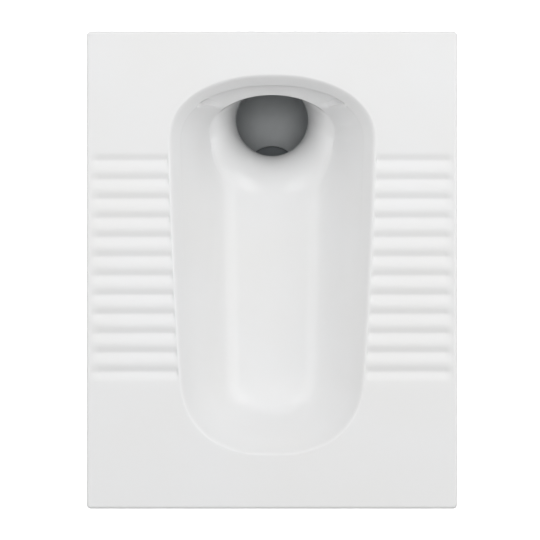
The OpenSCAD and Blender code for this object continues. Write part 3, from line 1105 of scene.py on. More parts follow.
@dataclass
class Well:
    """The well: the rolled lip, the flush slot, the sloping sole and the throat."""

    opening: Opening
    top: float
    deck_thick: float = DECK_THICK
    wall: float = WELL_WALL
    collar: float = RIM_COLLAR
    # The rolled lip and its sharp lower edge.
    lip_h: float = 16 * MM
    lip_in: Inset = (-11 * MM, -11 * MM, -9.2 * MM)
    lip_steps: int = 12
    roll_share: float = 0.3
    roll_out: float = 2.4 * MM
    edge_turn: tuple[tuple[float, float], ...] = ((1.6 * MM, 0.93), (0.6 * MM, 0.985), (0.1 * MM, 0.96))
    # The flush slot under the rear lip, and its ports.
    slot_h: float = 11 * MM
    slot_half: float = 92 * MM
    slot_ease: float = 9 * MM
    slot_in: Inset = (1 * MM, 1 * MM, 1 * MM)
    roof_fall: float = 0.8 * MM
    floor_fall: float = 1.6 * MM
    port_w: float = 34 * MM
    port_h: float = 7 * MM
    port_gap: float = 9 * MM
    port_drop: float = 0.5 * MM
    port_front: float = 12 * MM
    port_back: float = 28 * MM
    port_round: float = 0.42
    port_facets: int = 5
    # The wall and the sole. wall_foot and sole_edge are shares of the way out from the centre line,
    # and between them the wall bends over into the dished sole.
    wall_foot: float = 0.82
    sole_edge: float = 0.34
    dish: float = 0.1
    sole_front: float = 82 * MM
    sole_back: float = 98 * MM
    wall_rings: int = 30
    ring_power: float = 1.1
    least_fall: float = 0.1 * MM
    # The drain's mouth, its flare and the throat.
    mouth_a: float = 76 * MM
    mouth_y: float = 169.8 * MM
    mouth_back: float = 44 * MM
    mouth_front: float = 92 * MM
    mouth_side_turn: float = math.radians(55)
    undercut_from: float = 0.35
    undercut_run: float = 0.5
    flare_rings: int = 14
    drain_y: float = DRAIN_Y
    throat_r: float = THROAT_R
    throat_depth: float = 152 * MM
    throat_wall: float = 10 * MM
    # The outside, which stands upright at the back, where the flush inlet joins it. Elsewhere the
    # gap and the drop add to the wall's thickness, and the skin stays below the slot and above the
    # throat's end.
    outside_rings: int = 12
    outside_gap: float = 2 * MM
    outside_drop: float = 4 * MM
    slot_under: float = 2 * MM
    throat_over: float = 6 * MM
    upright_share: float = 0.35
    upright_end: float = FLUSH_Z - 32 * MM
    upright_half: float = 20 * MM
    upright_ease: float = 55 * MM
    back_lean: float = 0.6
    smooth_rings: int = 4
    smoothings: int = 16

    def __post_init__(self) -> None:
        """Works out the levels and the turn at which each point runs down into the drain."""
        o = self.opening
        self.lip_z = self.top - self.lip_h
        self.throat_z = self.top - self.throat_depth
        down_side = (o.back_y - np.maximum(o.row_y, o.front_y)) / (o.back_y - o.front_y)
        front_share = o.turn / math.pi - 1
        past_front = np.clip((o.front_y - o.row_y) / o.front_reach, 0, 1)
        tail = np.arcsin(past_front ** (o.front_power / 2)) / math.pi
        round_front = math.pi - 2 * self.mouth_side_turn
        left = math.pi + self.mouth_side_turn * down_side + round_front * tail
        right = 2 * math.pi - self.mouth_side_turn * down_side - round_front * tail
        front = math.pi + self.mouth_side_turn + round_front * front_share
        self.around = np.where(o.is_back, o.turn,
                               np.where(o.is_front, front, np.where(o.side < 0, left, right)))
        self.undercut = eased((np.sin(self.around) - self.undercut_from) / self.undercut_run)
        edge = o.offset(0)
        share = eased((self.slot_half + self.slot_ease - np.abs(edge[:, 0])) / self.slot_ease)
        self.slot_share = np.where(edge[:, 1] > o.back_y, share, 0)
        ease = self.wall_foot - self.sole_edge
        self.eased_fall = 1 - self.wall_foot + ease * (1 + self.dish) / 2
        self.full_fall = self.eased_fall + self.dish * self.sole_edge / 2

    def fall(self, rho: np.ndarray) -> np.ndarray:
        """How far the well has fallen: 0 at its edge and 1 on the centre line.

        Args:
            rho: 1 at the edge and 0 on the centre line.

        Returns:
            The share of the depth.
        """
        ease = self.wall_foot - self.sole_edge
        sole = self.eased_fall + self.dish * (self.sole_edge - rho * rho / self.sole_edge) / 2
        bend = (1 - self.wall_foot + (self.wall_foot - rho) * (1 + self.dish) / 2
                + (1 - self.dish) / 2 * ease / np.pi * np.sin(np.pi * (rho - self.sole_edge) / ease))
        fallen = np.where(rho > self.wall_foot, 1 - rho, np.where(rho < self.sole_edge, sole, bend))
        return fallen / self.full_fall

    def depth(self, flat: np.ndarray, inset: Inset, edge_depth: float, extra: float) -> np.ndarray:
        """Depth of the well under the deck's top.

        Args:
            flat: Points in plan.
            inset: The outline at which the well starts.
            edge_depth: Its depth there.
            extra: Added depth on the sole.

        Returns:
            The depth at each point.
        """
        o = self.opening
        along = (flat[:, 1] - o.front_y) / (self.mouth_y - self.mouth_front - o.front_y)
        sole = self.sole_front + (self.sole_back - self.sole_front) * along + extra
        return edge_depth + (sole - edge_depth) * self.fall(np.minimum(1, o.reach(flat, inset)))

    def mouth(self) -> np.ndarray:
        """The drain's mouth: one half ellipse behind its middle and a longer one before it.

        Returns:
            The ring in plan.
        """
        sine = np.sin(self.around)
        across = self.mouth_a * np.cos(self.around)
        along = self.mouth_y + np.where(sine > 0, self.mouth_back, self.mouth_front) * sine
        return np.column_stack([across, along])

    def throat(self, radius: float) -> np.ndarray:
        """The round throat in plan."""
        return np.column_stack([radius * np.cos(self.around), self.drain_y + radius * np.sin(self.around)])

    def slanted(self, share: float) -> np.ndarray:
        """The lip's slanting face in plan, at this share of its height."""
        return self.opening.outline(*[v * share for v in self.lip_in])

    def rim(self) -> list[np.ndarray]:
        """The rolled lip, from the deck's top down to its lower edge.

        Returns:
            The rings in order.
        """
        rings = [raised(self.opening.offset(self.collar), self.top)]
        for t in np.linspace(0, 1, self.lip_steps + 1):
            down = self.roll_share * t * t
            inset = [self.roll_out * (1 - t) ** 2 + v * down for v in self.lip_in]
            rings.append(raised(self.opening.outline(*inset), self.top - self.lip_h * down))
        for rise, over_slot in self.edge_turn:
            line = mixed(self.slanted(1 - rise / self.lip_h), self.slanted(over_slot), self.slot_share)
            rings.append(raised(line, self.lip_z + rise))
        return rings

    def slot_line(self, closed: float, opened: float) -> np.ndarray:
        """The back edge of the slot's roof or floor, and beside the slot a line down the wall.

        Args:
            closed: Depth under the lip where there is no slot.
            opened: Depth under the lip in the slot.

        Returns:
            One ring.
        """
        wall = self.slanted(1 + closed / self.lip_h)
        line = mixed(wall, self.opening.outline(*self.slot_in), self.slot_share)
        return raised(line, self.lip_z - mixed(closed, opened, self.slot_share))

    def inside(self, floor: np.ndarray, mouth: np.ndarray) -> list[np.ndarray]:
        """The wall, the sole and the sloping shelf of the slot.

        Args:
            floor: The ring at the slot's floor.
            mouth: The drain's mouth in plan.

        Returns:
            Rings down to the mouth.
        """
        rings = []
        mouth_z = self.top - self.depth(mouth, self.lip_in, self.lip_h, 0)
        for i in range(1, self.wall_rings + 1):
            t = (i / self.wall_rings) ** self.ring_power
            flat = mixed(floor[:, :2], mouth, t)
            well = self.top - self.depth(flat, self.lip_in, self.lip_h, 0)
            shelf = mixed(floor[:, 2], mouth_z, t)
            level = mixed(well, shelf, self.slot_share)
            rings.append(raised(flat, np.minimum(level, floor[:, 2] - self.least_fall * i)))
        return rings

    def flare(self, start: np.ndarray, end: np.ndarray, t: float) -> np.ndarray:
        """Rounds over from the mouth to the throat, undercut at the back.

        Args:
            start: The ring at the mouth.
            end: The throat in plan.
            t: Share of the way.

        Returns:
            One ring.
        """
        turn = np.pi / 2 * t
        across = mixed(math.sin(turn), eased(t), self.undercut)
        down = mixed(1 - math.cos(turn), t, self.undercut)
        return raised(mixed(start[:, :2], end, across), mixed(start[:, 2], self.throat_z, down))

    def outside(self, mouth: np.ndarray) -> list[np.ndarray]:
        """The outside, from the flange under the deck to the outer throat.

        Args:
            mouth: The drain's mouth in plan.

        Returns:
            Rings from the top down.
        """
        flange = self.opening.offset(self.wall)
        outset = tuple(v + self.wall + self.outside_gap for v in self.lip_in)
        edge_depth = self.lip_h + self.outside_drop
        low = self.lip_z - self.slot_h
        throat_out = self.throat(self.throat_r + self.throat_wall)
        aside = eased((np.abs(flange[:, 0]) - self.upright_half) / self.upright_ease)
        end = self.upright_end * (1 - aside)
        rings = []
        for i in range(self.outside_rings + 1):
            t = (i / self.outside_rings) ** self.ring_power
            flat = mixed(flange, mouth, t)
            level = self.top - self.depth(flat, outset, edge_depth, self.wall)
            level = np.maximum(self.throat_z + self.throat_over, np.minimum(level, low - self.slot_under * t))
            if t < self.upright_share:
                back = raised(flange, mixed(low, end, t / self.upright_share))
            else:
                lean = self.back_lean * (t - self.upright_share) / (1 - self.upright_share)
                back = raised(mixed(flange, throat_out, lean), mixed(end, self.throat_z, lean))
            rings.append(mixed(raised(flat, level), back, self.undercut))
        return rings

    def smoothed(self, rings: list[np.ndarray]) -> list[np.ndarray]:
        """Rounds the folds round the outer throat, except at the back, where the flush inlet stands.

        Each time, a point goes half the way to the mean of its four neighbours.

        Args:
            rings: Rings of which the first and the last stay.

        Returns:
            As many rings.
        """
        for _ in range(self.smoothings):
            between = []
            for low, ring, high in zip(rings, rings[1:], rings[2:]):
                mean = (low + high + np.roll(ring, 1, axis=0) + np.roll(ring, -1, axis=0)) / 4
                between.append(mixed((ring + mean) / 2, ring, self.undercut))
            rings = [rings[0], *between, rings[-1]]
        return rings

    def build(self, china: bpy.types.Material) -> bpy.types.Object:
        """Models the well.

        Args:
            china: Its finish.

        Returns:
            The piece.
        """
        mouth = self.mouth()
        rim = self.rim()
        roof = self.slot_line(self.roof_fall, 0)
        floor = self.slot_line(self.floor_fall, self.slot_h)
        inside = self.inside(floor, mouth)
        outside = self.outside(mouth)
        shares = np.arange(1, self.flare_rings + 1) / self.flare_rings
        throat = self.throat(self.throat_r)
        outer_throat = self.throat(self.throat_r + self.throat_wall)
        flare = [self.flare(inside[-1], throat, t) for t in shares]
        under = [self.flare(outside[-1], outer_throat, t) for t in shares[::-1]]
        upwards = outside[::-1]
        outer = self.smoothed([*under, *upwards[:self.smooth_rings]]) + upwards[self.smooth_rings:]
        underside = self.top - self.deck_thick
        flange = [raised(self.opening.offset(by), underside) for by in (self.wall, self.collar)]
        piece = skinned([*rim, roof, floor, *inside, *flare, *outer, *flange])
        for step in (-1, 0, 1):
            merge(piece, self.port(step * (self.port_w + self.port_gap)), Merge.CUT)
        return finished(piece, "well", china, angle=40)

    def port(self, x: float) -> bpy.types.Object:
        """Shapes the core of one flush port, which has round ends.

        Args:
            x: Middle of the port.

        Returns:
            The core.
        """
        half_w, half_h = self.port_w / 2, self.port_h / 2
        middle = self.lip_z - self.slot_h / 2 - self.port_drop
        slot_back = self.opening.back_y + self.opening.back_reach
        core = block((x - half_w, slot_back - self.port_front, middle - half_h),
                     (x + half_w, slot_back + self.port_back, middle + half_h), "port_core")
        pick(core)
        bpy.ops.object.mode_set(mode="EDIT")
        bpy.ops.mesh.select_mode(type="EDGE")
        bpy.ops.mesh.select_all(action="DESELECT")
        bm = bmesh.from_edit_mesh(core.data)
        for edge in bm.edges:
            start, end = edge.verts
            edge.select = abs(start.co.x - end.co.x) + abs(start.co.z - end.co.z) < SAME_PLACE
        bmesh.update_edit_mesh(core.data)
        bpy.ops.mesh.bevel(offset=self.port_h * self.port_round, segments=self.port_facets)
        bpy.ops.object.mode_set(mode="OBJECT")
        return core


@dataclass
class FlushInlet:
    """The china casting behind the well: a fan under the deck and the socket of the flush pipe."""

    opening: Opening
    wall_out: float = WELL_WALL
    overlap: float = 1 * MM
    deck_underside: float = 28 * MM
    fan_half: float = 70 * MM
    fan_r: float = 12 * MM
    axis_z: float = FLUSH_Z
    socket_r: float = FLUSH_SOCKET_R
    socket_wall: float = 7 * MM
    socket_depth: float = 22 * MM
    bore_r: float = 14 * MM
    back_y: float = 268 * MM
    end_y: float = FLUSH_SOCKET_END
    rim_r: float = 2.5 * MM
    socket_edge: float = 0.8 * MM
    wall: float = 6 * MM
    shoulder: float = 5 * MM
    fillet: float = 6 * MM
    fillet_out: float = 0.6
    arc_steps: int = 16
    line_steps: int = 12

    def fan(self, inset: float) -> np.ndarray:
        """The fan's outline seen from behind: two small arcs at the top and one large one below.

        Args:
            inset: How far inside the outer face.

        Returns:
            Across and up, one row for each point.
        """
        foot_r = self.socket_r + self.socket_wall
        across, up = self.fan_half - self.fan_r, self.deck_underside - self.fan_r - self.axis_z
        slope = math.atan2(up, across)
        lean = slope - math.asin((foot_r - self.fan_r) / math.hypot(across, up)) - math.pi / 2
        arcs = (((across, up), self.fan_r, lean, math.pi / 2),
                ((-across, up), self.fan_r, math.pi / 2, math.pi - lean),
                ((0.0, 0.0), foot_r, math.pi - lean, 2 * math.pi + lean))
        points = []
        for k, (middle, radius, start, end) in enumerate(arcs):
            turns = np.linspace(start, end, self.arc_steps)
            arc = np.column_stack([middle[0] + (radius - inset) * np.cos(turns),
                                   middle[1] + (radius - inset) * np.sin(turns)])
            ahead, ahead_r, ahead_turn, _ = arcs[(k + 1) % 3]
            landing = np.array([ahead[0] + (ahead_r - inset) * math.cos(ahead_turn),
                                ahead[1] + (ahead_r - inset) * math.sin(ahead_turn)])
            shares = np.linspace(0, 1, self.line_steps + 1)[1:-1, None]
            points += [arc, arc[-1] + (landing - arc[-1]) * shares]
        return np.vstack(points)

    def ring(self, flat: np.ndarray, y: Any) -> np.ndarray:
        """Places an outline about the inlet's axis.

        Args:
            flat: Across and up from the axis.
            y: One place along the axis, or one for each point.

        Returns:
            The ring's points.
        """
        return np.column_stack([flat[:, 0], np.broadcast_to(y, len(flat)), self.axis_z + flat[:, 1]])

    def round_ring(self, directions: np.ndarray, radius: Any, y: float) -> np.ndarray:
        """A ring with these radii, whose points lie in the fan's directions from the axis."""
        return self.ring(directions * np.reshape(radius, (-1, 1)), y)

    def at_well(self, across: np.ndarray) -> np.ndarray:
        """Finds the well's outer wall, so that the casting ends just inside it.

        Args:
            across: Places across the pan.

        Returns:
            Where the casting ends at each of them.
        """
        o = self.opening
        half = o.half(o.back_y) + self.wall_out
        share = (1 - np.clip(np.abs(across) / half, 0, 1) ** o.back_power) ** (1 / o.back_power)
        return o.back_y + (o.back_reach + self.wall_out) * share - self.overlap

    def build(self, china: bpy.types.Material) -> bpy.types.Object:
        """Models the casting.

        Args:
            china: Its finish.

        Returns:
            The piece.
        """
        outer = self.fan(0)
        far = np.hypot(outer[:, 0], outer[:, 1])
        directions = outer / far[:, None]
        back, end, tube_r = self.back_y, self.end_y, self.socket_r + self.socket_wall
        shoulder, fillet = (np.minimum(size, (far - tube_r) / 2) for size in (self.shoulder, self.fillet))
        rings = []
        for gone, left in quarter(90, 60, 30, 0):
            rings.append(self.ring(self.fan(-self.fillet * self.fillet_out * gone),
                                   self.at_well(outer[:, 0]) + self.fillet * left))
        for gone, left in quarter(0, 22, 45, 68, 90):
            rings.append(self.round_ring(directions, far - shoulder * gone, back - self.shoulder * left))
        for gone, left in quarter(0, 22, 45, 68, 90):
            rings.append(self.round_ring(directions, tube_r + fillet * left, back + self.fillet * gone))
        for gone, left in quarter(0, 30, 60, 90):
            rings.append(self.round_ring(directions, tube_r - self.rim_r * gone, end - self.rim_r * left))
        socket_end, inner_y = end - self.socket_depth, back - self.wall
        profile = ((self.socket_r + self.socket_edge, end), (self.socket_r, end - self.socket_edge),
                   (self.socket_r, socket_end), (self.bore_r, socket_end), (self.bore_r, inner_y))
        rings += [self.round_ring(directions, radius, y) for radius, y in profile]
        inner = self.fan(self.wall)
        rings += [self.ring(inner, inner_y), self.ring(inner, self.at_well(inner[:, 0]))]
        return finished(skinned(rings), "flush_inlet", china, angle=45)


@dataclass
class OutletHorn:
    """The china spigot under the drain, which enters the trap."""

    y: float = DRAIN_Y
    top: float = -112 * MM
    end: float = -182 * MM
    bore_r: float = THROAT_R
    foot_r: float = 55 * MM
    foot_h: float = 7 * MM
    cone_h: float = 13 * MM
    cone_steps: int = 6
    spigot_r: float = HORN_R
    rim_r: float = 1.8 * MM
    bore_edge: float = 1.2 * MM

    def build(self, china: bpy.types.Material) -> bpy.types.Object:
        """Models the spigot.

        Args:
            china: Its finish.

        Returns:
            The piece.
        """
        cone_top = self.top - self.foot_h
        outside = [(self.foot_r, self.top), (self.foot_r, cone_top)]
        for t in np.linspace(0, 1, self.cone_steps + 1)[1:]:
            share = (1 - math.cos(math.pi * t)) / 2
            outside.append((mixed(self.foot_r, self.spigot_r, share), cone_top - self.cone_h * t))
        for gone, left in quarter(0, 30, 60, 90):
            outside.append((self.spigot_r - self.rim_r * gone, self.end + self.rim_r * left))
        inside = [(self.bore_r + self.bore_edge, self.end), (self.bore_r, self.end + self.bore_edge),
                  (self.bore_r, self.top)]
        return finished(shell(upright(self.y, outside + inside)), "outlet_spigot", china, angle=40)


# ---------- the seals ----------


@dataclass
class Seals:
    """The four rubber seals."""

    # The bush that grips the flush pipe.
    bush_z: float = FLUSH_Z
    bush_r: float = FLUSH_SOCKET_R
    bush_pipe_r: float = 16 * MM
    bush_start: float = 265 * MM
    bush_flange: float = FLUSH_SOCKET_END
    bush_flange_h: float = 2.5 * MM
    bush_flange_out: float = 4 * MM
    bush_nose: float = 3 * MM
    bush_taper: float = 1.5 * MM
    bush_edge: float = 1 * MM
    bush_bevel: float = 0.5 * MM
    groove_count: int = 3
    groove_first: float = 4 * MM
    groove_pitch: float = 6 * MM
    groove_width: float = 3 * MM
    groove_depth: float = 0.9 * MM
    groove_slope: float = 0.8 * MM
    # The collar between the horn and the trap's socket.
    collar_y: float = DRAIN_Y
    collar_r: float = HORN_R
    collar_wall: float = 2.6 * MM
    collar_foot: float = -188 * MM
    collar_nose: float = 1.5 * MM
    collar_taper: float = 1 * MM
    collar_rim: float = HORN_SOCKET_RIM
    collar_flange_h: float = 3 * MM
    collar_flange_out: float = 4 * MM
    collar_edge: float = 1 * MM
    collar_bevel: float = 0.4 * MM
    fin_count: int = 3
    fin_first: float = 6 * MM
    fin_pitch: float = 13 * MM
    fin_width: float = 5 * MM
    fin_slope: float = 2 * MM
    fin_r: float = HORN_SOCKET_R
    # The ring in the groove of the trap's upper socket.
    ring_y: float = UP_LIMB_Y
    ring_z: float = RING_Z
    ring_half: float = RING_HALF
    ring_r: float = PIPE_R
    ring_out_r: float = RING_OUT_R
    ring_taper: float = 0.8 * MM
    ring_edge: float = 1 * MM
    ring_bevel: float = 0.5 * MM
    # The washer under the cleanout's cap.
    washer_y: float = LOW_BEND_Y
    washer_r: float = NECK_BORE
    washer_out_r: float = 38.5 * MM
    washer_thick: float = WASHER_THICK
    washer_top: float = NECK_END
    washer_bevel: float = 0.6 * MM

    def inlet_bush(self, rubber: bpy.types.Material) -> bpy.types.Object:
        """The bush that grips the flush pipe, with three shallow grooves inside.

        Args:
            rubber: Its finish.

        Returns:
            The piece.
        """
        bore, out, start, flange = self.bush_pipe_r, self.bush_r, self.bush_start, self.bush_flange
        flange_r, end = out + self.bush_flange_out, flange + self.bush_flange_h
        profile = [(bore, start), (out - self.bush_taper, start), (out, start + self.bush_nose),
                   (out, flange), (flange_r, flange), (flange_r, end), (bore + self.bush_edge, end),
                   (bore, end - self.bush_edge)]
        for k in reversed(range(self.groove_count)):
            y = start + self.groove_first + k * self.groove_pitch
            profile += band(bore, y + self.groove_width, y, self.groove_depth, self.groove_slope)
        piece = soften(shell(lying(self.bush_z, profile)), self.bush_bevel, 2)
        return finished(piece, "inlet_bush", rubber)

    def horn_collar(self, rubber: bpy.types.Material) -> bpy.types.Object:
        """The collar between the horn and the trap's socket, with its fins.

        Args:
            rubber: Its finish.

        Returns:
            The piece.
        """
        bore, foot, rim = self.collar_r, self.collar_foot, self.collar_rim
        out = bore + self.collar_wall
        flange_r, top = self.fin_r + self.collar_flange_out, rim + self.collar_flange_h
        profile = [(bore, foot), (out - self.collar_taper, foot), (out, foot + self.collar_nose)]
        for k in range(self.fin_count):
            z = foot + self.fin_first + k * self.fin_pitch
            profile += band(out, z, z + self.fin_width, self.fin_r - out, self.fin_slope)
        profile += [(out, rim), (flange_r, rim), (flange_r, top - self.collar_edge),
                    (flange_r - self.collar_edge, top), (bore, top)]
        piece = soften(shell(upright(self.collar_y, profile)), self.collar_bevel, 2)
        return finished(piece, "horn_collar", rubber)

    def bend_ring(self, rubber: bpy.types.Material) -> bpy.types.Object:
        """The ring in the groove of the trap's upper socket.

        Args:
            rubber: Its finish.

        Returns:
            The piece.
        """
        half = [(self.ring_r, self.ring_half - self.ring_edge),
                (self.ring_r + self.ring_taper, self.ring_half), (self.ring_out_r, self.ring_half)]
        profile = [(r, self.ring_z - up) for r, up in half] + [(r, self.ring_z + up) for r, up in half[::-1]]
        piece = soften(shell(upright(self.ring_y, profile)), self.ring_bevel, 2)
        return finished(piece, "bend_ring", rubber)

    def washer(self, rubber: bpy.types.Material) -> bpy.types.Object:
        """The washer under the cleanout's cap.

        Args:
            rubber: Its finish.

        Returns:
            The piece.
        """
        inner, outer, top = self.washer_r, self.washer_out_r, self.washer_top
        low = top - self.washer_thick
        profile = [(inner, low), (outer, low), (outer, top), (inner, top)]
        piece = soften(shell(upright(self.washer_y, profile)), self.washer_bevel)
        return finished(piece, "cap_washer", rubber)


# ---------- the trap ----------


@dataclass
class Trap:
    """The plastic connector, the trap with its cleanout and the outlet bend."""

    drain_y: float = DRAIN_Y
    low_y: float = LOW_BEND_Y
    up_y: float = UP_LIMB_Y
    pipe_r: float = PIPE_R
    bore_r: float = 51.8 * MM
    socket_wall: float = 3.5 * MM
    bend_r: float = 62 * MM
    bend_z: float = -250 * MM
    seam: float = 0.35 * MM
    # The connector: a weld socket below and the horn's socket above.
    weld_end: float = -229 * MM
    weld_stop: float = -197 * MM
    weld_edge: float = 1 * MM
    weld_nose: float = 1.5 * MM
    step_h: float = 8 * MM
    step_out: float = 0.8 * MM
    step_ease: float = 2 * MM
    horn_socket_r: float = HORN_SOCKET_R
    horn_socket_foot: float = -191 * MM
    horn_socket_rim: float = HORN_SOCKET_RIM
    bead_h: float = 6 * MM
    bead_out: float = 2.5 * MM
    bead_slope: float = 3 * MM
    mouth_edge: float = 1 * MM
    connector_bevel: float = 1 * MM
    # The trap's upper socket, with the groove of its ring.
    socket_foot: float = -245 * MM
    socket_top: float = -201 * MM
    socket_gap: float = 0.3 * MM
    socket_swell: float = 1 * MM
    swell_low: float = 1 * MM
    swell_high: float = 2 * MM
    ring_z: float = RING_Z
    ring_half: float = RING_HALF
    ring_out_r: float = RING_OUT_R
    bulge_half: float = 9 * MM
    bulge_slope: float = 4 * MM
    bulge_r: float = 63.5 * MM
    # The cleanout's neck and its thread.
    neck_r: float = 39 * MM
    neck_bore: float = NECK_BORE
    neck_end: float = NECK_END
    neck_top: float = -342 * MM
    neck_flare: tuple[tuple[float, float], ...] = ((0.6 * MM, 16 * MM), (3 * MM, 6 * MM), (6 * MM, 0))
    neck_points: int = 144
    bore_beyond: float = 2 * MM
    thread_pitch: float = 4 * MM
    thread_depth: float = 1.1 * MM
    thread_start: float = 0.6 * MM
    thread_step: float = 0.4 * MM
    thread_fade: float = 2 * MM
    thread_steepness: float = 0.9
    # The outlet bend.
    outlet_z: float = -135 * MM
    outlet_end: float = -75 * MM
    spigot_lift: float = 2 * MM
    spigot_edge: float = 1.2 * MM
    spigot_nose: float = 3 * MM
    outlet_bevel: float = 0.8 * MM
    # The cap and its grip.
    cap_r: float = 44.5 * MM
    cap_floor: float = 4 * MM
    cap_skirt: float = 16 * MM
    cap_gap: float = 0.3 * MM
    cap_edge: float = 0.8 * MM
    cap_foot: tuple[tuple[float, float], ...] = ((2 * MM, 0), (0.6 * MM, 0.5 * MM), (0, 1.4 * MM))
    washer_thick: float = WASHER_THICK
    rib_count: int = 24
    rib_points: int = 10
    rib_h: float = 1.4 * MM
    rib_start: float = 2.4 * MM
    rib_slope: float = 1.2 * MM
    rib_steepness: float = 1.4
    rib_level: float = 0.1
    grip_length: float = 40 * MM
    grip_width: float = 10 * MM
    grip_h: float = 9 * MM
    grip_root: float = 1 * MM
    grip_taper: tuple[float, float] = (0.94, 0.78)
    grip_bevel: float = 1.8 * MM

    def connector(self, plastic: bpy.types.Material) -> bpy.types.Object:
        """The socket that takes the horn, welded over the trap's pipe.

        Args:
            plastic: Its finish.

        Returns:
            The piece.
        """
        weld_r, socket_r = self.pipe_r + self.socket_wall, self.horn_socket_r + self.socket_wall
        rim, foot, step = self.horn_socket_rim, self.horn_socket_foot, self.horn_socket_foot - self.step_h
        bead, bead_r = rim - self.bead_h, socket_r + self.bead_out
        outside = upright(self.drain_y, [
            (weld_r - self.weld_edge, self.weld_end), (weld_r, self.weld_end + self.weld_nose),
            (weld_r, step), (weld_r + self.step_out, step + self.step_ease),
            (socket_r - self.step_out, foot - self.step_ease), (socket_r, foot),
            (socket_r, bead - self.bead_slope), (bead_r, bead), (bead_r, rim)], self.seam)
        mouth_r = self.horn_socket_r
        inside = upright(self.drain_y, [
            (mouth_r + self.mouth_edge, rim), (mouth_r, rim - self.mouth_edge), (mouth_r, foot),
            (self.bore_r, foot), (self.bore_r, self.weld_stop), (self.pipe_r, self.weld_stop),
            (self.pipe_r, self.weld_end)])
        piece = soften(shell(outside + inside), self.connector_bevel)
        return finished(piece, "horn_socket", plastic)

    def body(self, plastic: bpy.types.Material) -> bpy.types.Object:
        """The lower bend with its two limbs, its upper socket and the cleanout's neck.

        Args:
            plastic: Its finish.

        Returns:
            The piece.
        """
        foot, top = self.socket_foot, self.socket_top
        socket_r, swell_r = self.pipe_r + self.socket_gap, self.pipe_r + self.socket_swell
        out = socket_r + self.socket_wall
        outside = [Hoop(self.drain_y, self.weld_stop, self.pipe_r, DOWN)]
        outside += round_bend(self.low_y, self.bend_z, self.bend_r, 0, -180, self.pipe_r, self.seam)
        outside += upright(self.up_y, [
            (swell_r, self.bend_z + self.swell_low), (swell_r, foot - self.swell_high), (out, foot),
            *band(out, self.ring_z - self.bulge_half, self.ring_z + self.bulge_half, self.bulge_r - out,
                  self.bulge_slope),
            (out, top)], self.seam)
        inside = upright(self.up_y, [
            (socket_r, top),
            *band(socket_r, self.ring_z + self.ring_half, self.ring_z - self.ring_half,
                  self.ring_out_r - socket_r, 0),
            (socket_r, foot), (self.bore_r, foot)])
        inside += round_bend(self.low_y, self.bend_z, self.bend_r, 0, -180, self.bore_r)[::-1]
        inside.append(Hoop(self.drain_y, self.weld_stop, self.bore_r, DOWN))
        piece = shell(outside + inside)
        merge(piece, self.neck(), Merge.JOIN)
        bore_ends = (self.neck_end - self.bore_beyond, self.neck_top)
        bore = solid(upright(self.low_y, [(self.neck_bore, z) for z in bore_ends]))
        merge(piece, bore, Merge.CUT)
        return finished(piece, "trap", plastic)

    def neck(self) -> bpy.types.Object:
        """The cleanout's neck with its right-hand thread, cut free of the waterway.

        Returns:
            The solid.
        """
        around = even_turns(self.neck_points)
        root = self.neck_r - self.thread_depth
        profile = [(root, self.neck_end)]
        thread_top = self.neck_end + self.cap_skirt
        for z in np.arange(self.neck_end + self.thread_start, thread_top, self.thread_step):
            fade = min(1, (z - self.neck_end) / self.thread_fade, (thread_top - z) / self.thread_fade)
            wave = np.sin(2 * np.pi * z / self.thread_pitch + around)
            crest = np.clip(0.5 + self.thread_steepness * wave, 0, 1)
            profile.append((root + self.thread_depth * crest * fade, z))
        profile.append((self.neck_r, thread_top + self.thread_step))
        profile += [(self.neck_r + out, self.neck_top - down) for out, down in self.neck_flare]
        neck = solid(upright(self.low_y, profile), around)
        waterway = solid(round_bend(self.low_y, self.bend_z, self.bend_r, -30, -150, self.bore_r))
        merge(neck, waterway, Merge.CUT)
        return neck

    def outlet_bend(self, plastic: bpy.types.Material) -> bpy.types.Object:
        """The bend that takes the waste to the drain pipe.

        Args:
            plastic: Its finish.

        Returns:
            The piece.
        """
        foot, end, nose = self.socket_foot + self.spigot_lift, self.outlet_end, self.spigot_nose
        middle = (self.up_y - self.bend_r, self.outlet_z - self.bend_r, self.bend_r)
        slim = self.pipe_r - self.spigot_edge
        spigot = [(slim, foot), (self.pipe_r, foot + nose), (self.pipe_r, self.socket_top)]
        outside = upright(self.up_y, spigot)
        outside += round_bend(*middle, 0, 90, self.pipe_r, self.seam)
        outside += [Hoop(end + nose, self.outlet_z, self.pipe_r, FORWARDS, self.seam),
                    Hoop(end, self.outlet_z, slim, FORWARDS)]
        inside = [Hoop(end, self.outlet_z, self.bore_r, FORWARDS),
                  *round_bend(*middle, 0, 90, self.bore_r)[::-1], Hoop(self.up_y, foot, self.bore_r)]
        piece = soften(shell(outside + inside), self.outlet_bevel)
        return finished(piece, "outlet_bend", plastic)

    def cap(self, plastic: bpy.types.Material) -> bpy.types.Object:
        """The screw cap with its ribbed side and its grip bar.

        Args:
            plastic: Its finish.

        Returns:
            The piece.
        """
        around = even_turns(self.rib_count * self.rib_points)
        rib = np.clip(self.rib_steepness * np.cos(around * self.rib_count) + self.rib_level, 0, 1)
        seat = self.neck_end - self.washer_thick
        low, top = seat - self.cap_floor, seat + self.cap_skirt
        out, inner, edge = self.cap_r, self.neck_r + self.cap_gap, self.cap_edge
        ribbed = out + self.rib_h * rib
        foot = [(out - inwards, low + up) for inwards, up in self.cap_foot]
        profile = [*foot, (ribbed, low + self.rib_start), (ribbed, top - self.rib_start),
                   (out, top - self.rib_start + self.rib_slope), (out - edge, top), (inner + edge, top),
                   (inner, top - edge), (inner, seat)]
        piece = solid(upright(self.low_y, profile), around)
        merge(piece, self.grip(low), Merge.JOIN)
        return finished(piece, "screw_cap", plastic)

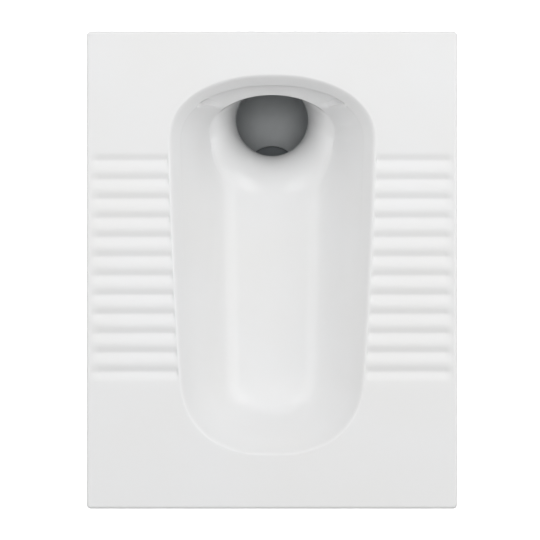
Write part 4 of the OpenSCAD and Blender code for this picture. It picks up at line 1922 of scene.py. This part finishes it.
    def grip(self, cap_low: float) -> bpy.types.Object:
        """The bar under the cap, which tapers downwards.

        Args:
            cap_low: Level of the cap's lower face.

        Returns:
            The solid.
        """
        half_l, half_w = self.grip_length / 2, self.grip_width / 2
        bar = block((-half_l, self.low_y - half_w, cap_low - self.grip_h),
                    (half_l, self.low_y + half_w, cap_low + self.grip_root), "grip")
        for vert in bar.data.vertices:
            if vert.co.z < cap_low:
                vert.co.x *= self.grip_taper[0]
                vert.co.y = mixed(self.low_y, vert.co.y, self.grip_taper[1])
        return soften(bar, self.grip_bevel, 4)


# ---------- the studio ----------


@dataclass(frozen=True)
class Lamp:
    """A square soft light that faces the pan."""

    name: str
    place: Place
    side: float
    watts: float
    mirrored: bool = True

    def build(self) -> None:
        """Puts the light in its place."""
        data = bpy.data.lights.new(self.name, "AREA")
        data.size = self.side
        data.energy = self.watts
        lamp = bpy.data.objects.new(self.name, data)
        lamp.location = self.place
        aim = -lamp.location
        lamp.rotation_euler = aim.to_track_quat("-Z", "Y").to_euler()
        lamp.visible_glossy = self.mirrored
        bpy.context.scene.collection.objects.link(lamp)


@dataclass
class Studio:
    """The camera straight above the pan, the soft lights and the white floor."""

    eye_height: float = 8
    sight: float = 100
    sensor_mm: float = 36
    pixel: float = 1.214 * MM
    photo_pixels: int = 540
    photo_shift: int = -2
    floor_drop: float = 15 * MM
    floor_side: float = 30
    floor_colour: Colour = (0.93, 0.93, 0.93)
    floor_roughness: float = 0.9
    floor_glow: float = 0.8
    surround_slope: Place = (0.0, -0.35, -0.6)
    surround_level: float = 0.26
    lamps: tuple[Lamp, ...] = (
        Lamp("back_softbox", (0.2, 1.7, 2.2), side=3.4, watts=22),
        Lamp("right_softbox", (2.3, 0.9, 1.9), side=3.2, watts=46),
        Lamp("left_softbox", (-2.3, 0.9, 1.9), side=3.2, watts=37),
        Lamp("overhead_softbox", (0.0, 0.0, 7.0), side=1.4, watts=163, mirrored=False),
    )

    def build(self, deck_top: float, lowest: float) -> None:
        """Sets up the whole studio.

        Args:
            deck_top: Level of the deck's top, where the photograph's scale holds.
            lowest: Level of the object's lowest point.
        """
        self.camera(deck_top)
        for lamp in self.lamps:
            lamp.build()
        self.surround()
        self.floor(lowest - self.floor_drop)

    def camera(self, deck_top: float) -> None:
        """Looks straight down with the back of the pan at the top of the picture.

        Args:
            deck_top: Level of the deck's top.
        """
        data = bpy.data.cameras.new("camera")
        data.sensor_width = self.sensor_mm
        data.lens = self.sensor_mm * self.eye_height / (self.photo_pixels * self.pixel)
        data.clip_end = self.sight
        eye = bpy.data.objects.new("camera", data)
        eye.location = (self.photo_shift * self.pixel, 0, deck_top + self.eye_height)
        bpy.context.scene.collection.objects.link(eye)
        bpy.context.scene.camera = eye

    def surround(self) -> None:
        """Lights the pan from all round, more from the front and from below."""
        world = bpy.data.worlds.new("surround")
        world.use_nodes = True
        tree = world.node_tree
        where = tree.nodes.new("ShaderNodeTexCoord")
        slope = tree.nodes.new("ShaderNodeVectorMath")
        slope.operation = "DOT_PRODUCT"
        slope.inputs[1].default_value = self.surround_slope
        tree.links.new(where.outputs["Generated"], slope.inputs[0])
        level = tree.nodes.new("ShaderNodeMath")
        level.operation = "MULTIPLY_ADD"
        tree.links.new(slope.outputs["Value"], level.inputs[0])
        level.inputs[1].default_value = self.surround_level
        level.inputs[2].default_value = self.surround_level
        background = tree.nodes["Background"]
        tree.links.new(level.outputs[0], background.inputs["Strength"])
        background.inputs["Color"].default_value = (1, 1, 1, 1)
        bpy.context.scene.world = world
        bpy.context.scene.view_settings.view_transform = "Standard"

    def floor(self, level: float) -> None:
        """A plain white floor under the trap, which throws no light back up.

        Args:
            level: Its height.
        """
        bpy.ops.mesh.primitive_plane_add(size=self.floor_side, location=(0, 0, level))
        plane = bpy.context.object
        plane.name = "floor"
        bench = Bench("white_floor")
        bench.fill(bench.shader, Base_Color=(*self.floor_colour, 1), Roughness=self.floor_roughness,
                   Emission_Color=(1, 1, 1, 1), Emission_Strength=self.floor_glow)
        plane.data.materials.append(bench.material)
        plane.visible_diffuse = False
        plane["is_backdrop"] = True


def stand_in_for(piece: bpy.types.Object, node: str, body: str) -> None:
    """Hides a node, lets the piece stand for it and reports the piece.

    Args:
        piece: The finished piece.
        node: The node that it replaces.
        body: The body that it rides on.
    """
    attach(piece, body)
    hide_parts(node)
    LOG.info("%s stands for %s: %d faces", piece.name, node, len(piece.data.polygons))


def main() -> None:
    """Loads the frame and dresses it."""
    logging.basicConfig(level=logging.INFO, format="%(name)s: %(message)s")
    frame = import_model()
    cad_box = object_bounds()
    low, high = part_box("deck")
    opening = Opening()
    finishes = {slot: finish.build() for slot, finish in FINISHES.items()}
    for row in frame["record"]["subparts"]:
        node = frame["nodes"][row["node"]]
        node.data.materials.clear()
        node.data.materials.append(finishes[Slot(row["material_slot"])])
    deck = FootDeck(opening, Treads(), high.x - low.x, high.y - low.y, high.z)
    seals, trap = Seals(), Trap()
    plan = (
        (deck.build, "deck", Body.PAN, Slot.CHINA),
        (Well(opening, high.z).build, "bowl", Body.PAN, Slot.CHINA),
        (FlushInlet(opening).build, "flush_chamber", Body.PAN, Slot.CHINA),
        (OutletHorn().build, "outlet_horn", Body.PAN, Slot.CHINA),
        (seals.inlet_bush, "inlet_seal", Body.PAN, Slot.RUBBER),
        (seals.horn_collar, "outlet_seal", Body.PAN, Slot.RUBBER),
        (seals.bend_ring, "trap_bend_seal", Body.PAN, Slot.RUBBER),
        (seals.washer, "cleanout_seal", Body.WASHER, Slot.RUBBER),
        (trap.connector, "trap_connector", Body.PAN, Slot.TRAP),
        (trap.body, "trap_body", Body.PAN, Slot.TRAP),
        (trap.outlet_bend, "trap_outlet_bend", Body.PAN, Slot.TRAP),
        (trap.cap, "cleanout_cap", Body.CAP, Slot.CAP),
    )
    for build, node, body, slot in plan:
        stand_in_for(build(finishes[slot]), node, body.value)
    Studio().build(high.z, cad_box[0].z)


if __name__ == "__main__":
    main()
